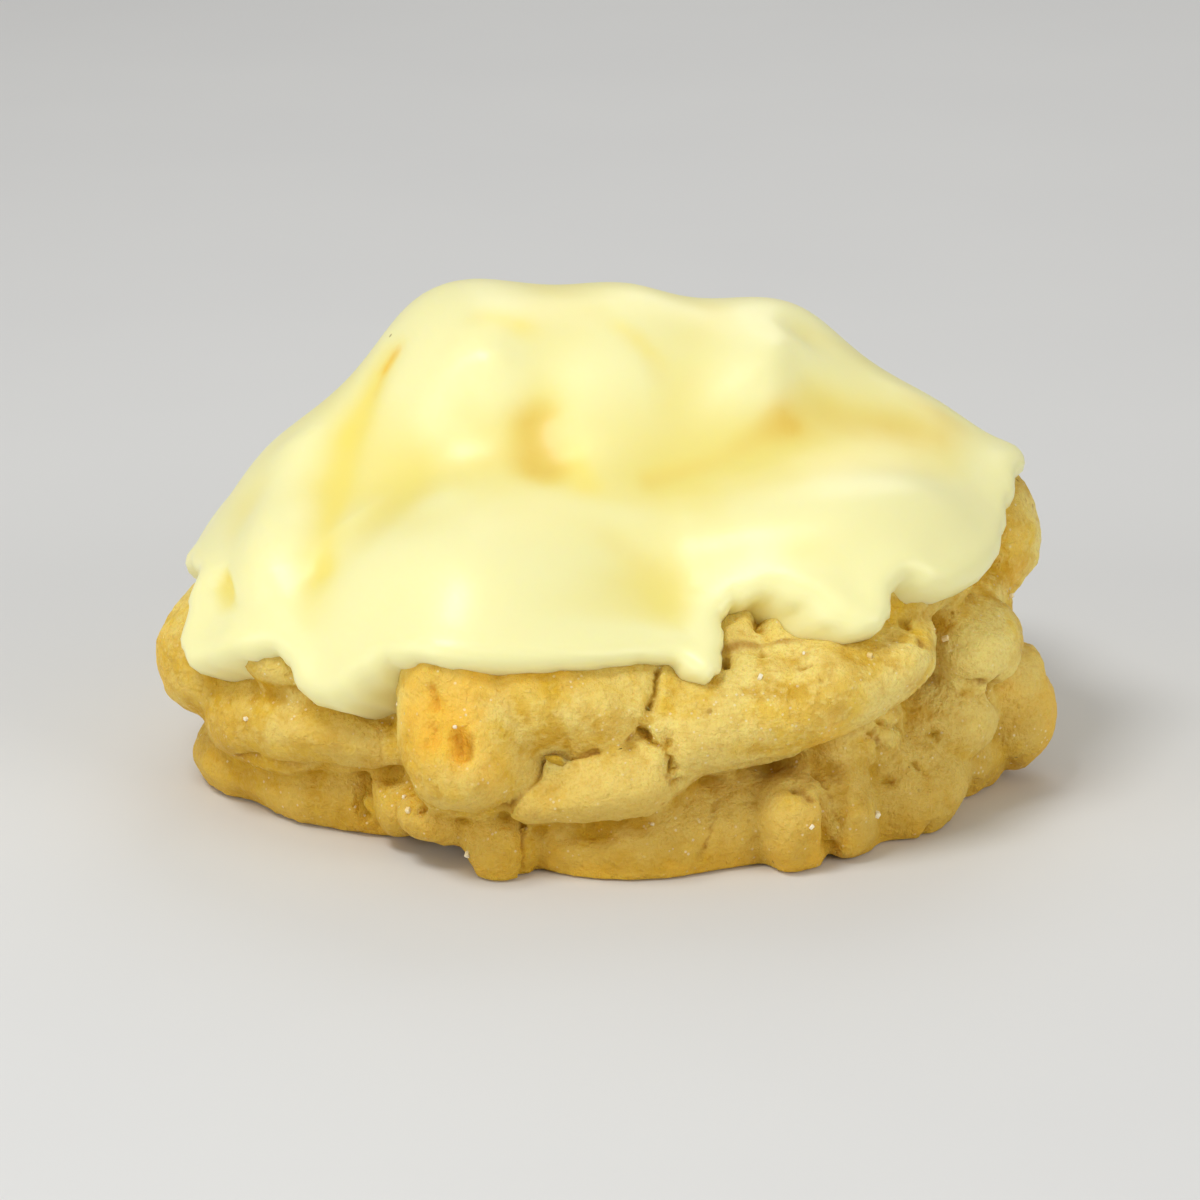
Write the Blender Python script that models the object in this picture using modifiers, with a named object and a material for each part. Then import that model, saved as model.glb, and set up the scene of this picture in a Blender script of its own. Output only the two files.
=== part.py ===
"""Iced lemon cookie, in metres, +Z up, standing on the plane z = 0.

The dough is one body: torn lumps pressed together, baked until they fused, with creases
left between them. The icing is a second body: a poured cap that drapes over the top of
the dough and ends in rounded drips all round.

The front is -Y and the right is +X. An azimuth turns from the front towards the right.
Places and sizes are in millimetres until a shape is built.
"""

import math
from typing import NamedTuple

import bmesh
import bpy
import numpy as np
from mathutils import Euler, Matrix, Vector, noise
from mathutils.bvhtree import BVHTree
from mathutils.kdtree import KDTree

MM = 0.001

# Driving sizes, in millimetres.
ICING_THICKNESS = 2.0
LIP_BEAD = 0.35
LIP_BEAD_WIDTH = 1.4
SEAT_GAP = 0.3

# The slumping and the tearing of the dough: wavelength and height, in millimetres.
SLUMP = (9.0, 1.0)
SMALL_SLUMP = (4.5, 0.35)
TEARS = (5.0, 0.4)

# How close together the lumps along a fold lie, in millimetres.
FOLD_SPACING = 1.4

# How far the creases between the lumps are softened.
SOFTEN_FACTOR = 0.5
SOFTEN_ROUNDS = 2

# How the icing's skin dives into the dough below its edge, in millimetres.
DIVE_SLOPE = 2.5
DIVE_DEPTH = 6.0
CORE_START = 3.0
CORE_BLEND = 5.0
CORE_RADIUS = 14.0

# Fineness of the faceted solids.
LUMP_LEVEL = 4
DOUGH_VOXEL = 0.6
DOUGH_TRIANGLES = 7600
ICING_LEVEL = 6
ICING_TRIANGLES = 3600

# How wide a hollow the icing bridges, and the reach of its mound, in millimetres.
DRAPE_REACH = 5.0
MOUND_RADIUS = 30.0

# Edge of a face of the undivided ball, for a radius of 1, and how much less the drape
# is smoothed than it is stretched.
BALL_EDGE = 1.1
SMOOTHING_PART = 6

# A distance that is outside the cookie in every direction, in millimetres.
OUTSIDE = 200.0

# How far apart the places along the icing's edge line are taken, in degrees.
EDGE_STEP = 0.2

# The point inside the mound that the icing's surface is measured from.
HEART = np.array((0.0, 0.0, 8.0))

# Colours, linear.
DOUGH_COLOUR = (0.66, 0.43, 0.14)
ICING_COLOUR = (0.92, 0.86, 0.42)
DOUGH_ROUGHNESS = 0.75
ICING_ROUGHNESS = 0.25

# Creases sharper than this stay crisp under the smooth shading.
CRISP_CREASE = math.radians(55)


class Lump(NamedTuple):
    """One torn lump of dough, an egg shape.

    Its centre is x, y, z, and its half sizes are wide along x, deep along y and tall
    along z. Roll lifts its right side, and yaw turns it about the upright axis.
    """

    name: str
    x: float
    y: float
    z: float
    wide: float
    deep: float
    tall: float
    roll: float = 0.0
    yaw: float = 0.0


class Fold(NamedTuple):
    """A long roll of dough along a line of points, thick and thin where it says.

    Each row of the path is x, y, z, and there the half thickness across the line.
    """

    name: str
    deep: float
    path: tuple


class Stroke(NamedTuple):
    """A soft ridge, or a hollow where its height is negative, along a line of points.

    One point alone is a spot.
    """

    name: str
    path: tuple
    width: float
    height: float


# The mound under the icing.
MOUND = (
    Lump("heart", 0, 0, 10, 28, 25, 20),
    Lump("peak", -10.0, 2, 28.0, 9.8, 12, 10.0),
    Lump("crown", 0, 2, 27.5, 10, 12, 10.0),
    Lump("second dome", 11.8, 3, 27.0, 9.0, 12, 9.4, -12),
    Lump("right slope", 21.4, 0, 21.8, 10.8, 12, 8.7, -37),
    Lump("right shoulder", 26.8, -2, 20.6, 6.0, 10, 6.4),
    Lump("left slope", -21.8, 1, 18.8, 12, 12, 8.0, 45),
    Lump("front lip", 16.5, -13.5, 20.0, 13.5, 10, 7.0),
    Lump("front left lip", -9.5, -18, 17.5, 12.0, 10, 8.0),
    Lump("left lip", -23.0, -11, 15.5, 7.0, 9, 8.5, 15),
    Lump("back lip", 2, 17, 19, 18, 11, 10),
    Lump("back left lip", -16, 14, 16, 12, 10, 9),
    Lump("back right lip", 20, 13, 17, 11, 10, 9),
)

# The folds and lumps that show below the icing at the front and the sides.
FRONT = (
    Fold("beak fold", 6.0, (
        (-11.6, -27.0, 14.8, 4.9),
        (-11.0, -28.9, 11.4, 5.9),
        (-11.0, -29.9, 8.6, 4.4),
    )),
    Fold("beak shoulder", 6.4, (
        (-6.0, -27.0, 13.6, 4.6),
        (-1.0, -26.4, 13.4, 4.5),
        (3.4, -25.2, 12.9, 4.2),
    )),
    Fold("band", 6.4, (
        (4.4, -26.6, 10.8, 3.8),
        (8.2, -26.8, 11.5, 4.4),
        (12.6, -26.0, 12.9, 4.6),
        (17.8, -24.2, 14.5, 4.3),
        (22.8, -21.8, 15.3, 3.8),
    )),
    Fold("tucked fold", 5.8, (
        (-5.6, -28.0, 6.4, 2.8),
        (-1.6, -28.8, 7.1, 3.4),
        (2.4, -28.4, 8.0, 3.3),
        (5.6, -27.2, 9.2, 2.7),
    )),
    Lump("band shelf", 16.3, -18, 18.0, 8.2, 7.5, 3.0, 4),
    Lump("shelf crest", 10.6, -19.8, 17.4, 4.2, 6.6, 2.9, 12),
    Lump("right cheek", 29.6, -13.0, 13.1, 4.8, 6.6, 4.3),
    Lump("right wall", 32.6, -2, 19.6, 3.6, 6.5, 5.3),
    Lump("right flank", 29.6, -5, 13.6, 4.4, 8, 6.0),
    Lump("right nub", 33.9, -8, 5.2, 4.0, 4.8, 4.4),
    Lump("right nub top", 33.4, -9, 8.6, 3.0, 4.2, 3.0),
    Lump("right hollow", 26.6, -14.0, 7.4, 6.0, 6.4, 4.0),
    Lump("under band", 17.6, -19.2, 8.2, 6.5, 7.0, 3.8, 14),
    Lump("knob", 14.9, -26.8, 3.0, 4.0, 5.4, 4.7),
    Fold("knob rib", 4.8, (
        (18.7, -23.4, 6.0, 1.9),
        (19.6, -24.4, 3.6, 2.3),
        (19.9, -24.6, 1.6, 2.3),
    )),
    Lump("foot front", 1.6, -23.3, 1.6, 12.0, 9.2, 6.2),
    Lump("foot front end", 9.6, -21.0, 2.0, 6.5, 9.0, 6.2),
    Lump("foot right", 21.2, -15.9, 2.4, 8.6, 9.0, 6.4, 8),
    Lump("foot right side", 26.6, -7, 2.6, 7.2, 9.6, 5.4, 6),
    Lump("foot knob", -8.4, -29.2, 1.8, 2.8, 4.2, 3.6),
    Lump("foot flap", -13.2, -27.4, 3.5, 3.7, 3.7, 2.4, -32),
    Lump("foot left front", -15.8, -20.8, 3.6, 4.1, 6.6, 4.1, -6),
    Fold("foot left rim", 7.4, (
        (-30.2, -7.6, 2.6, 4.1),
        (-25.6, -12.2, 2.4, 4.3),
        (-21.0, -15.2, 2.4, 4.3),
        (-17.2, -17.0, 2.8, 4.2),
    )),
    Fold("left roll", 7.2, (
        (-29.6, -12.4, 7.4, 3.7),
        (-25.6, -15.8, 8.2, 4.4),
        (-23.0, -17.0, 8.3, 3.9),
        (-20.2, -18.2, 8.6, 4.4),
        (-15.6, -20.0, 8.8, 3.9),
    )),
    Lump("left ear", -31.4, -8.5, 11.4, 6.2, 7.2, 5.8, -2),
    Lump("left ear root", -24.8, -14.5, 13.2, 6.2, 8, 4.4, -20),
)

# The back carries on with the same kinds of lump.
BACK = (
    Lump("foot back right", 22, 14, 4.2, 10, 10, 5.0, 0, 35),
    Lump("foot back", 10, 25, 4.4, 9, 8, 5.2, 0, 12),
    Lump("foot back left", -8, 26, 4.2, 9, 7.5, 4.8, 0, -10),
    Lump("foot back far left", -22, 18, 4.4, 9.5, 8, 5.2, 0, -38),
    Lump("foot back end", -29, 5, 4.2, 6, 8, 4.6),
    Lump("back fold right", 24, 14, 12.0, 8.5, 7, 4.8, 6, 38),
    Lump("back fold", 13, 23.5, 12.5, 8.5, 7, 5.4, -8, 15),
    Lump("back band", -3, 25.5, 11.8, 9, 7, 4.6, 8, -4),
    Lump("back band end", -15, 22, 13.2, 6.5, 7, 5.2, 0, -30),
    Lump("back cheek", -24.5, 13.5, 12.0, 8, 6.5, 4.8, -8, -50),
    Lump("back ear", -29.0, 4, 12.5, 5.0, 7, 4.6),
    Lump("right back wall", 29.5, 6, 11.0, 4.2, 7, 6.0),
    Lump("back knob", 5, 31, 6.0, 3.4, 3.4, 4.2),
    Lump("back nub", 22, 25, 7.0, 3.2, 3.4, 3.4),
    Lump("back rib", -16.5, 27.5, 6.0, 2.4, 3.6, 5.0, 6),
)

# Hollows pressed into the mound, which the icing follows.
MOUND_HOLLOWS = (
    Stroke(
        "terrace step",
        ((3.5, -15, 28), (10.0, -12.6, 29), (15.6, -9.5, 31), (22.5, -7, 30)),
        3.2,
        -2.8,
    ),
    Stroke("dimple hollow", ((-6.0, -11, 30), (-4.6, -14, 27.5)), 3.0, -1.5),
    Stroke("crown notch", ((8.7, 3, 37), (8.7, -3, 36.5)), 2.2, -1.8),
    Stroke("back hollow", ((-10, 19, 27), (3, 21, 27)), 4.0, -1.6),
)

# The wider cracks and the pits that show in the folds.
DOUGH_STROKES = (
    Stroke("band crack", ((4.4, -32.5, 15), (4.2, -32.8, 12.5), (5.0, -32.6, 11)), 0.6, -1.3),
    Stroke("tucked crack", ((4.4, -33.0, 8.8), (6.8, -32.4, 7.0)), 0.6, -1.2),
    Stroke("cheek crack", ((26.2, -18, 17.0), (25.8, -19, 14.5), (25.2, -19.5, 12.0)), 0.8, -1.8),
    Stroke("rib crack", ((17.6, -29.6, 6.5), (17.8, -30, 4.0), (18.0, -30, 1.5)), 0.6, -1.3),
    Stroke("beak pit", ((-11.9, -35.0, 12.6), (-11.7, -35.2, 11.8)), 0.9, -1.8),
    Stroke("beak dent", ((-14.2, -33.8, 13.2), (-14.0, -34.2, 12.4)), 0.8, -1.0),
    Stroke("left crevice", ((-19.2, -22.5, 6.0), (-18.8, -23.0, 3.6), (-18.4, -23, 1.5)), 0.8, -1.6),
    Stroke("shelf pit", ((14.2, -25.5, 19.6), (15.4, -25.5, 19.2)), 0.8, -1.9),
    Stroke("small shelf pit", ((11.0, -26.2, 20.0), (11.6, -26.4, 19.0)), 0.6, -1.5),
    Stroke("shelf crack", ((11.2, -26.5, 19.0), (12.2, -27.5, 17.6)), 0.5, -1.0),
    Stroke("band dent", ((7.0, -32.2, 15.0), (7.6, -32.4, 14.4)), 0.8, -0.9),
)

# The icing's lower edge all the way round: azimuth and height, drip by drip.
EDGE = (
    (-180, 17.5),
    (-168, 14.0),
    (-158, 16.5),
    (-148, 18.0),
    (-138, 15.0),
    (-130, 13.5),
    (-122, 16.0),
    (-112, 18.5),
    (-104, 17.5),
    (-97, 14.6),
    (-91, 14.0),
    (-86, 15.4),
    (-80, 17.0),
    (-74, 17.4),
    (-70.5, 15.6),
    (-67.5, 12.8),
    (-64, 11.6),
    (-60, 12.6),
    (-54.7, 14.0),
    (-50.5, 14.9),
    (-48.4, 14.2),
    (-46.2, 12.4),
    (-43, 11.6),
    (-38.8, 11.5),
    (-36, 12.6),
    (-33, 14.6),
    (-30, 16.4),
    (-25, 17.2),
    (-8, 17.0),
    (4, 16.9),
    (9.5, 16.7),
    (12, 15.9),
    (14.2, 15.6),
    (16.4, 16.2),
    (18.2, 17.6),
    (20.2, 19.2),
    (22.4, 19.9),
    (27, 20.6),
    (30, 20.2),
    (32.5, 19.0),
    (35, 18.3),
    (38.5, 18.4),
    (41, 19.2),
    (43.6, 20.8),
    (45.4, 21.2),
    (48, 20.2),
    (52, 19.6),
    (58, 19.6),
    (66, 20.0),
    (72, 21.0),
    (77, 22.6),
    (83, 24.2),
    (90, 24.0),
    (97, 21.6),
    (103, 18.5),
    (110, 16.0),
    (117, 18.0),
    (126, 20.0),
    (134, 18.0),
    (141, 16.8),
    (149, 19.0),
    (158, 19.5),
    (166, 17.0),
    (173, 18.8),
)


# The flow marks of the poured icing: ridges, terraces and the hollows between them.
ICING_STROKES = (
    Stroke("brow", ((-8.4, -9.0, 34.6), (-8.2, -10.6, 33)), 2.0, 1.5),
    Stroke("dimple", ((-5.6, -10.8, 31), (-4.6, -13.6, 28.6)), 2.2, -0.8),
    Stroke("dimple rim", ((-13.2, -16, 27), (-13.6, -10, 32), (-10.0, -6, 35.5)), 2.3, 0.6),
    Stroke(
        "terrace rim",
        ((0, -13.5, 29.8), (5.8, -11.6, 31.2), (11.4, -8.5, 33), (13.4, -5, 35.4)),
        1.9,
        1.2,
    ),
    Stroke(
        "terrace foot",
        ((4.0, -15.2, 27.8), (9.6, -13, 29), (14.6, -10.2, 31), (16.4, -6.5, 33.4)),
        1.6,
        -1.3,
    ),
    Stroke("right hollow", ((18.3, -6.5, 32), (24.0, -5.5, 30.4)), 2.8, -0.8),
    Stroke("flow ridge", ((13.4, -1.5, 37), (17.5, -4.2, 34.2), (21.5, -4.8, 32)), 1.3, 0.8),
    Stroke("flow groove", ((16.6, -0.5, 36), (21.5, -2.6, 33)), 1.1, -0.7),
    Stroke("far flow ridge", ((20.5, 1, 34.5), (26.5, -2.5, 30.5)), 1.4, 0.8),
    Stroke("front swell", ((3, -19.5, 26), (15, -20, 26), (28, -12, 25)), 3.5, 0.6),
    Stroke("left swell", ((-10, -26, 23),), 4.5, 0.7),
    Stroke("front fold", ((1, -20.5, 25.5), (4.5, -24.5, 21.5)), 1.8, -0.5),
    Stroke(
        "left valley",
        ((-18.8, -2.5, 34.5), (-21.4, -6, 28.7), (-22.1, -9.5, 26.2), (-22.9, -18.8, 21.4)),
        2.2,
        -0.9,
    ),
    Stroke("left ridge", ((-25.0, -4, 27), (-26, -10, 23.5), (-26, -16, 20)), 2.4, 0.6),
    Stroke("lobe crease", ((-30.4, -13.4, 18.4), (-28.0, -16.5, 16.8), (-25.2, -19.0, 15.8)), 1.0, -1.2),
    Stroke("thin lobe", ((-32.5, -12, 14.0), (-29.5, -15.5, 14.5)), 2.2, -0.7),
    Stroke("drip swell", ((-20.8, -24.5, 15.5),), 3.4, 0.7),
    Stroke("crown notch", ((8.7, 4, 38.5), (8.5, -1, 38.2), (7.0, -4.5, 37)), 1.5, -0.9),
    Stroke("crown groove", ((-1, -3, 38.2), (4, -7, 36.2)), 1.3, -0.4),
    Stroke("back flow", ((-2, 14, 34), (-5, 22, 26)), 2.0, -0.8),
    Stroke("back right flow", ((14, 12, 33), (18, 19, 25)), 2.0, 0.8),
    Stroke("back left flow", ((-16, 10, 31), (-20, 16, 23)), 2.2, 0.8),
)


def lump_matrix(lump):
    """Stretches, rolls and turns a unit ball into the lump, at its place in metres."""
    turn = Euler((0, math.radians(-lump.roll), math.radians(lump.yaw)), "XYZ")
    size = Matrix.Diagonal((lump.wide, lump.deep, lump.tall, 1.0))
    place = Matrix.Translation((lump.x, lump.y, lump.z))
    return Matrix.Scale(MM, 4) @ place @ turn.to_matrix().to_4x4() @ size


def lumps_along(fold):
    """The row of close lumps that together make the roll."""
    row = []
    for start, end in zip(fold.path, fold.path[1:]):
        a, b = np.array(start), np.array(end)
        count = max(1, math.ceil(np.linalg.norm((b - a)[:3]) / FOLD_SPACING))
        row += [a + (b - a) * step / count for step in range(count)]
    row.append(np.array(fold.path[-1]))
    return [Lump(fold.name, x, y, z, thick, fold.deep, thick) for x, y, z, thick in row]


def new_object(name, bm, collection):
    """Puts a bmesh into a new object of this collection."""
    mesh = bpy.data.meshes.new(name)
    bm.to_mesh(mesh)
    bm.free()
    obj = bpy.data.objects.new(name, mesh)
    collection.objects.link(obj)
    return obj


def apply_modifiers(obj):
    """Replaces the object's mesh with what its modifiers make of it."""
    graph = bpy.context.evaluated_depsgraph_get()
    mesh = bpy.data.meshes.new_from_object(obj.evaluated_get(graph))
    obj.modifiers.clear()
    obj.data = mesh


def points_of(mesh):
    """The mesh's points as an array of rows, in metres."""
    points = np.empty(len(mesh.vertices) * 3)
    mesh.vertices.foreach_get("co", points)
    return points.reshape(-1, 3)


def normals_of(mesh):
    """The mesh's point normals as an array of rows."""
    normals = np.empty(len(mesh.vertices) * 3)
    mesh.vertex_normals.foreach_get("vector", normals)
    return normals.reshape(-1, 3)


def move_points(mesh, points):
    """Gives the mesh's points new places."""
    mesh.vertices.foreach_set("co", points.ravel())
    mesh.update()


def keep_largest_body(obj):
    """Drops loose scraps and sealed hollows, and leaves the one large body."""
    bm = bmesh.new()
    bm.from_mesh(obj.data)
    unseen = set(bm.verts)
    bodies = []
    while unseen:
        body = [unseen.pop()]
        for vert in body:
            for edge in vert.link_edges:
                other = edge.other_vert(vert)
                if other in unseen:
                    unseen.remove(other)
                    body.append(other)
        bodies.append(body)
    bodies.sort(key=len)
    scraps = [vert for body in bodies[:-1] for vert in body]
    bmesh.ops.delete(bm, geom=scraps, context="VERTS")
    bm.to_mesh(obj.data)
    bm.free()


def fuse_lumps(name, parts, collection):
    """Joins the lumps and folds into one skin, with small fillets in the creases."""
    bm = bmesh.new()
    for part in parts:
        for lump in lumps_along(part) if isinstance(part, Fold) else [part]:
            bmesh.ops.create_icosphere(
                bm, subdivisions=LUMP_LEVEL, radius=1, matrix=lump_matrix(lump)
            )
    obj = new_object(name, bm, collection)
    fuse = obj.modifiers.new("fuse", "REMESH")
    fuse.mode = "VOXEL"
    fuse.voxel_size = DOUGH_VOXEL * MM
    soften = obj.modifiers.new("soften creases", "SMOOTH")
    soften.factor = SOFTEN_FACTOR
    soften.iterations = SOFTEN_ROUNDS
    apply_modifiers(obj)
    keep_largest_body(obj)
    return obj


def wander(points, wavelength, amplitude, seed):
    """Offsets that bend a surface the way soft dough slumps, one row for each point."""
    places = [Vector(p) / (wavelength * MM) for p in points]
    columns = []
    for axis in range(3):
        shift = Vector((seed * 7.3, seed * 3.1 + axis * 19.7, seed * 5.7 + axis * 41.3))
        columns.append([noise.noise(place + shift) for place in places])
    return np.array(columns).T * amplitude * MM


def crag(points, wavelength, seed):
    """A rough height for each point, about -1 to 1, ridged like torn dough."""
    shift = Vector((seed * 2.9, seed * 6.1, seed * 4.3))
    rows = [noise.turbulence(Vector(p) / (wavelength * MM) + shift, 3, True) for p in points]
    return np.array(rows) - 0.5


def roughen_dough(obj):
    """Slumps the lumps out of their egg shapes and tears their surface."""
    points = points_of(obj.data)
    points += wander(points, *SLUMP, 1) + wander(points, *SMALL_SLUMP, 2)
    move_points(obj.data, points)
    wavelength, depth = TEARS
    height = crag(points, wavelength, 3) * depth
    height += total_of(DOUGH_STROKES + MOUND_HOLLOWS, points / MM)
    points += normals_of(obj.data) * height[:, None] * MM
    move_points(obj.data, points)


def cut_flat_base(obj):
    """Cuts the dough off level at the plate and closes the cut."""
    bm = bmesh.new()
    bm.from_mesh(obj.data)
    everything = bm.verts[:] + bm.edges[:] + bm.faces[:]
    cut = bmesh.ops.bisect_plane(
        bm, geom=everything, dist=1e-7, plane_co=(0, 0, 0), plane_no=(0, 0, 1), clear_inner=True
    )
    rim = [item for item in cut["geom_cut"] if isinstance(item, bmesh.types.BMEdge)]
    bmesh.ops.holes_fill(bm, edges=rim, sides=0)
    bmesh.ops.recalc_face_normals(bm, faces=bm.faces)
    bm.to_mesh(obj.data)
    bm.free()


def thin_out(obj, triangles):
    """Lowers the number of triangles, most where the surface is smooth."""
    thin = obj.modifiers.new("thin out", "DECIMATE")
    obj.data.calc_loop_triangles()
    thin.ratio = min(1.0, triangles / len(obj.data.loop_triangles))
    thin.use_collapse_triangulate = True
    apply_modifiers(obj)


def azimuths_of(points):
    """The azimuth of each point, in degrees."""
    return np.degrees(np.arctan2(points[:, 0], -points[:, 1]))


def edge_height(azimuth):
    """Height of the icing's edge at each azimuth, eased from one drip to the next."""
    turns = np.array([turn for turn, _ in EDGE] + [EDGE[0][0] + 360.0])
    levels = np.array([level for _, level in EDGE] + [EDGE[0][1]])
    azimuth = (azimuth + 180) % 360 - 180
    after = np.clip(np.searchsorted(turns, azimuth, "right"), 1, len(turns) - 1)
    share = (azimuth - turns[after - 1]) / (turns[after] - turns[after - 1])
    eased = share * share * (3 - 2 * share)
    return levels[after - 1] * (1 - eased) + levels[after] * eased


def neighbour_means(mesh):
    """A function that averages a value over each point's neighbours."""
    ends = np.empty(len(mesh.edges) * 2, np.int32)
    mesh.edges.foreach_get("vertices", ends)
    a, b = ends.reshape(-1, 2).T
    count = np.bincount(ends, minlength=len(mesh.vertices))

    def mean(values):
        near = np.bincount(a, values[b], len(count)) + np.bincount(b, values[a], len(count))
        return near / count

    return mean


def drape_reach(directions, dough, mean, rounds):
    """How far a skin laid over the dough stands from the heart in each direction.

    It touches the dough's high places and bridges its hollows.
    """
    bm = bmesh.new()
    bm.from_mesh(dough.data)
    tree = BVHTree.FromBMesh(bm)
    bm.free()
    heart = Vector(HEART * MM)
    far = OUTSIDE * MM
    outermost = []
    for direction in directions:
        way = Vector(direction)
        hit = tree.ray_cast(heart + way * far, -way)
        outermost.append(far - hit[3])
    touch = np.array(outermost) / MM
    reach = touch
    for _ in range(rounds):
        reach = np.maximum(touch, mean(reach))
    for _ in range(rounds // SMOOTHING_PART):
        reach = mean(reach)
    return reach


def distance_inside_edge(points, reach_of_azimuth):
    """Distance of each point from the icing's edge line, positive on the icing's side."""
    turns = np.arange(0.0, 360.0, EDGE_STEP)
    heights = edge_height(turns)
    radii = reach_of_azimuth(turns, heights)
    angles = np.radians(turns)
    line = np.column_stack((radii * np.sin(angles), -radii * np.cos(angles), heights))
    tree = KDTree(len(line))
    for index, place in enumerate(line):
        tree.insert(place, index)
    tree.balance()
    away = np.array([tree.find(place)[2] for place in points])
    above = points[:, 2] > edge_height(azimuths_of(points))
    return np.where(above, away, -away)


def distance_to_path(points, path):
    """Distance of each point from a line of points, or from one point."""
    nearest = np.linalg.norm(points - np.array(path[0], float), axis=1)
    for start, end in zip(path, path[1:]):
        start, along = np.array(start, float), np.subtract(end, start).astype(float)
        share = np.clip((points - start) @ along / (along @ along), 0, 1)
        gap = np.linalg.norm(points - start - share[:, None] * along, axis=1)
        nearest = np.minimum(nearest, gap)
    return nearest


def total_of(strokes, points):
    """Adds up the heights of the strokes at each point."""
    height = np.zeros(len(points))
    for stroke in strokes:
        away = distance_to_path(points, stroke.path)
        height += stroke.height * np.exp(-((away / stroke.width) ** 2))
    return height


def icing_skin(dough, collection):
    """The icing's outer skin: a ball pulled over the dough, sunk into it below the edge."""
    bm = bmesh.new()
    bmesh.ops.create_icosphere(bm, subdivisions=ICING_LEVEL, radius=1)
    obj = new_object("icing", bm, collection)
    directions = points_of(obj.data)
    spacing = MOUND_RADIUS * BALL_EDGE / 2 ** (ICING_LEVEL - 1)
    rounds = round((DRAPE_REACH / spacing) ** 2)
    mean = neighbour_means(obj.data)
    reach = drape_reach(directions, dough, mean, rounds)

    surface = HEART + directions * reach[:, None]
    move_points(obj.data, surface)
    bm = bmesh.new()
    bm.from_mesh(obj.data)
    tree = BVHTree.FromBMesh(bm)
    bm.free()

    def reach_of_azimuth(turns, heights):
        found = []
        for turn, height in zip(np.radians(turns), heights):
            out = Vector((math.sin(turn), -math.cos(turn), 0))
            hit = tree.ray_cast(out * OUTSIDE + Vector((0, 0, height)), -out)
            found.append(OUTSIDE - hit[3])
        return np.array(found)

    inside = distance_inside_edge(surface, reach_of_azimuth)
    across = np.clip(inside / ICING_THICKNESS, 0, 1)
    rise = ICING_THICKNESS * np.sqrt(1 - (1 - across) ** 2)
    bead = np.exp(-(((inside - ICING_THICKNESS) / LIP_BEAD_WIDTH) ** 2))
    rise += LIP_BEAD * bead * (inside > 0)
    rise += total_of(ICING_STROKES, surface) * across
    reach = reach + np.where(inside > 0, rise, np.maximum(DIVE_SLOPE * inside, -DIVE_DEPTH))
    deep = np.clip((-inside - CORE_START) / CORE_BLEND, 0, 1)
    reach = reach * (1 - deep) + CORE_RADIUS * deep
    move_points(obj.data, (HEART + directions * reach[:, None]) * MM)
    return obj


def seat_icing(icing, dough, collection):
    """Hollows the icing out so that it lies on the dough with a hair's gap."""
    cutter = dough.copy()
    cutter.data = dough.data.copy()
    cutter.name = "icing seat"
    collection.objects.link(cutter)
    cutter.hide_render = True
    cutter.display_type = "WIRE"
    swell = cutter.modifiers.new("gap", "DISPLACE")
    swell.mid_level = 0
    swell.strength = SEAT_GAP * MM
    cut = icing.modifiers.new("seat", "BOOLEAN")
    cut.operation = "DIFFERENCE"
    cut.solver = "EXACT"
    cut.object = cutter
    apply_modifiers(icing)
    keep_largest_body(icing)


def dress(obj, colour, roughness):
    """Gives the body its own finish and smooth shading."""
    finish = bpy.data.materials.new(obj.name)
    finish.use_nodes = True
    shader = finish.node_tree.nodes["Principled BSDF"]
    shader.inputs["Base Color"].default_value = (*colour, 1)
    shader.inputs["Roughness"].default_value = roughness
    shader.inputs["Metallic"].default_value = 0
    obj.data.materials.clear()
    obj.data.materials.append(finish)
    obj.data.shade_smooth()
    obj.data.set_sharp_from_angle(angle=CRISP_CREASE)


def main():
    for obj in list(bpy.data.objects):
        bpy.data.objects.remove(obj)
    cookie = bpy.data.collections.new("lemon_cookie")
    cutters = bpy.data.collections.new("cutters")
    bpy.context.scene.collection.children.link(cookie)
    bpy.context.scene.collection.children.link(cutters)
    dough = fuse_lumps("dough", MOUND + FRONT + BACK, cookie)
    roughen_dough(dough)
    thin_out(dough, DOUGH_TRIANGLES)
    cut_flat_base(dough)
    keep_largest_body(dough)
    icing = icing_skin(dough, cookie)
    thin_out(icing, ICING_TRIANGLES)
    seat_icing(icing, dough, cutters)
    dress(dough, DOUGH_COLOUR, DOUGH_ROUGHNESS)
    dress(icing, ICING_COLOUR, ICING_ROUGHNESS)


if __name__ == "__main__":
    main()
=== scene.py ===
"""Iced lemon cookie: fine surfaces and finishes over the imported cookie.

The front is -Y and the right is +X. An azimuth turns from the front towards the right.
Places and sizes of the shapes are in millimetres until a mesh is built.
"""

import logging
import math
from collections.abc import Callable, Iterable, Iterator
from contextlib import contextmanager
from dataclasses import dataclass, field
from enum import Enum
from typing import Any

import bmesh
import bpy
import numpy as np
from mathutils import Euler, Matrix, Vector, noise
from mathutils.bvhtree import BVHTree
from mathutils.kdtree import KDTree


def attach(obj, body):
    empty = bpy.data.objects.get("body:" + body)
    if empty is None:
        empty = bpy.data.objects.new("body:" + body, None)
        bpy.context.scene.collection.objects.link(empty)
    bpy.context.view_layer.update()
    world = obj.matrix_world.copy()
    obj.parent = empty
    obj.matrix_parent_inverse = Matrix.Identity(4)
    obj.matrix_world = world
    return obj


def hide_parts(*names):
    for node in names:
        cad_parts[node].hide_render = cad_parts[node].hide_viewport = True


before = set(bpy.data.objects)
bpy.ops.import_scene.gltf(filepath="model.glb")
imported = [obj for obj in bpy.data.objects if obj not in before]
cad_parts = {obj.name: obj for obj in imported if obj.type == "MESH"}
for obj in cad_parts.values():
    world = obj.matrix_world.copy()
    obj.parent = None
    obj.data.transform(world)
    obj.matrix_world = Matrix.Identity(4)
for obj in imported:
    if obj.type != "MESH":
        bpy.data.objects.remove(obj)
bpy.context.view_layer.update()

log = logging.getLogger("lemon_cookie")

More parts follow.
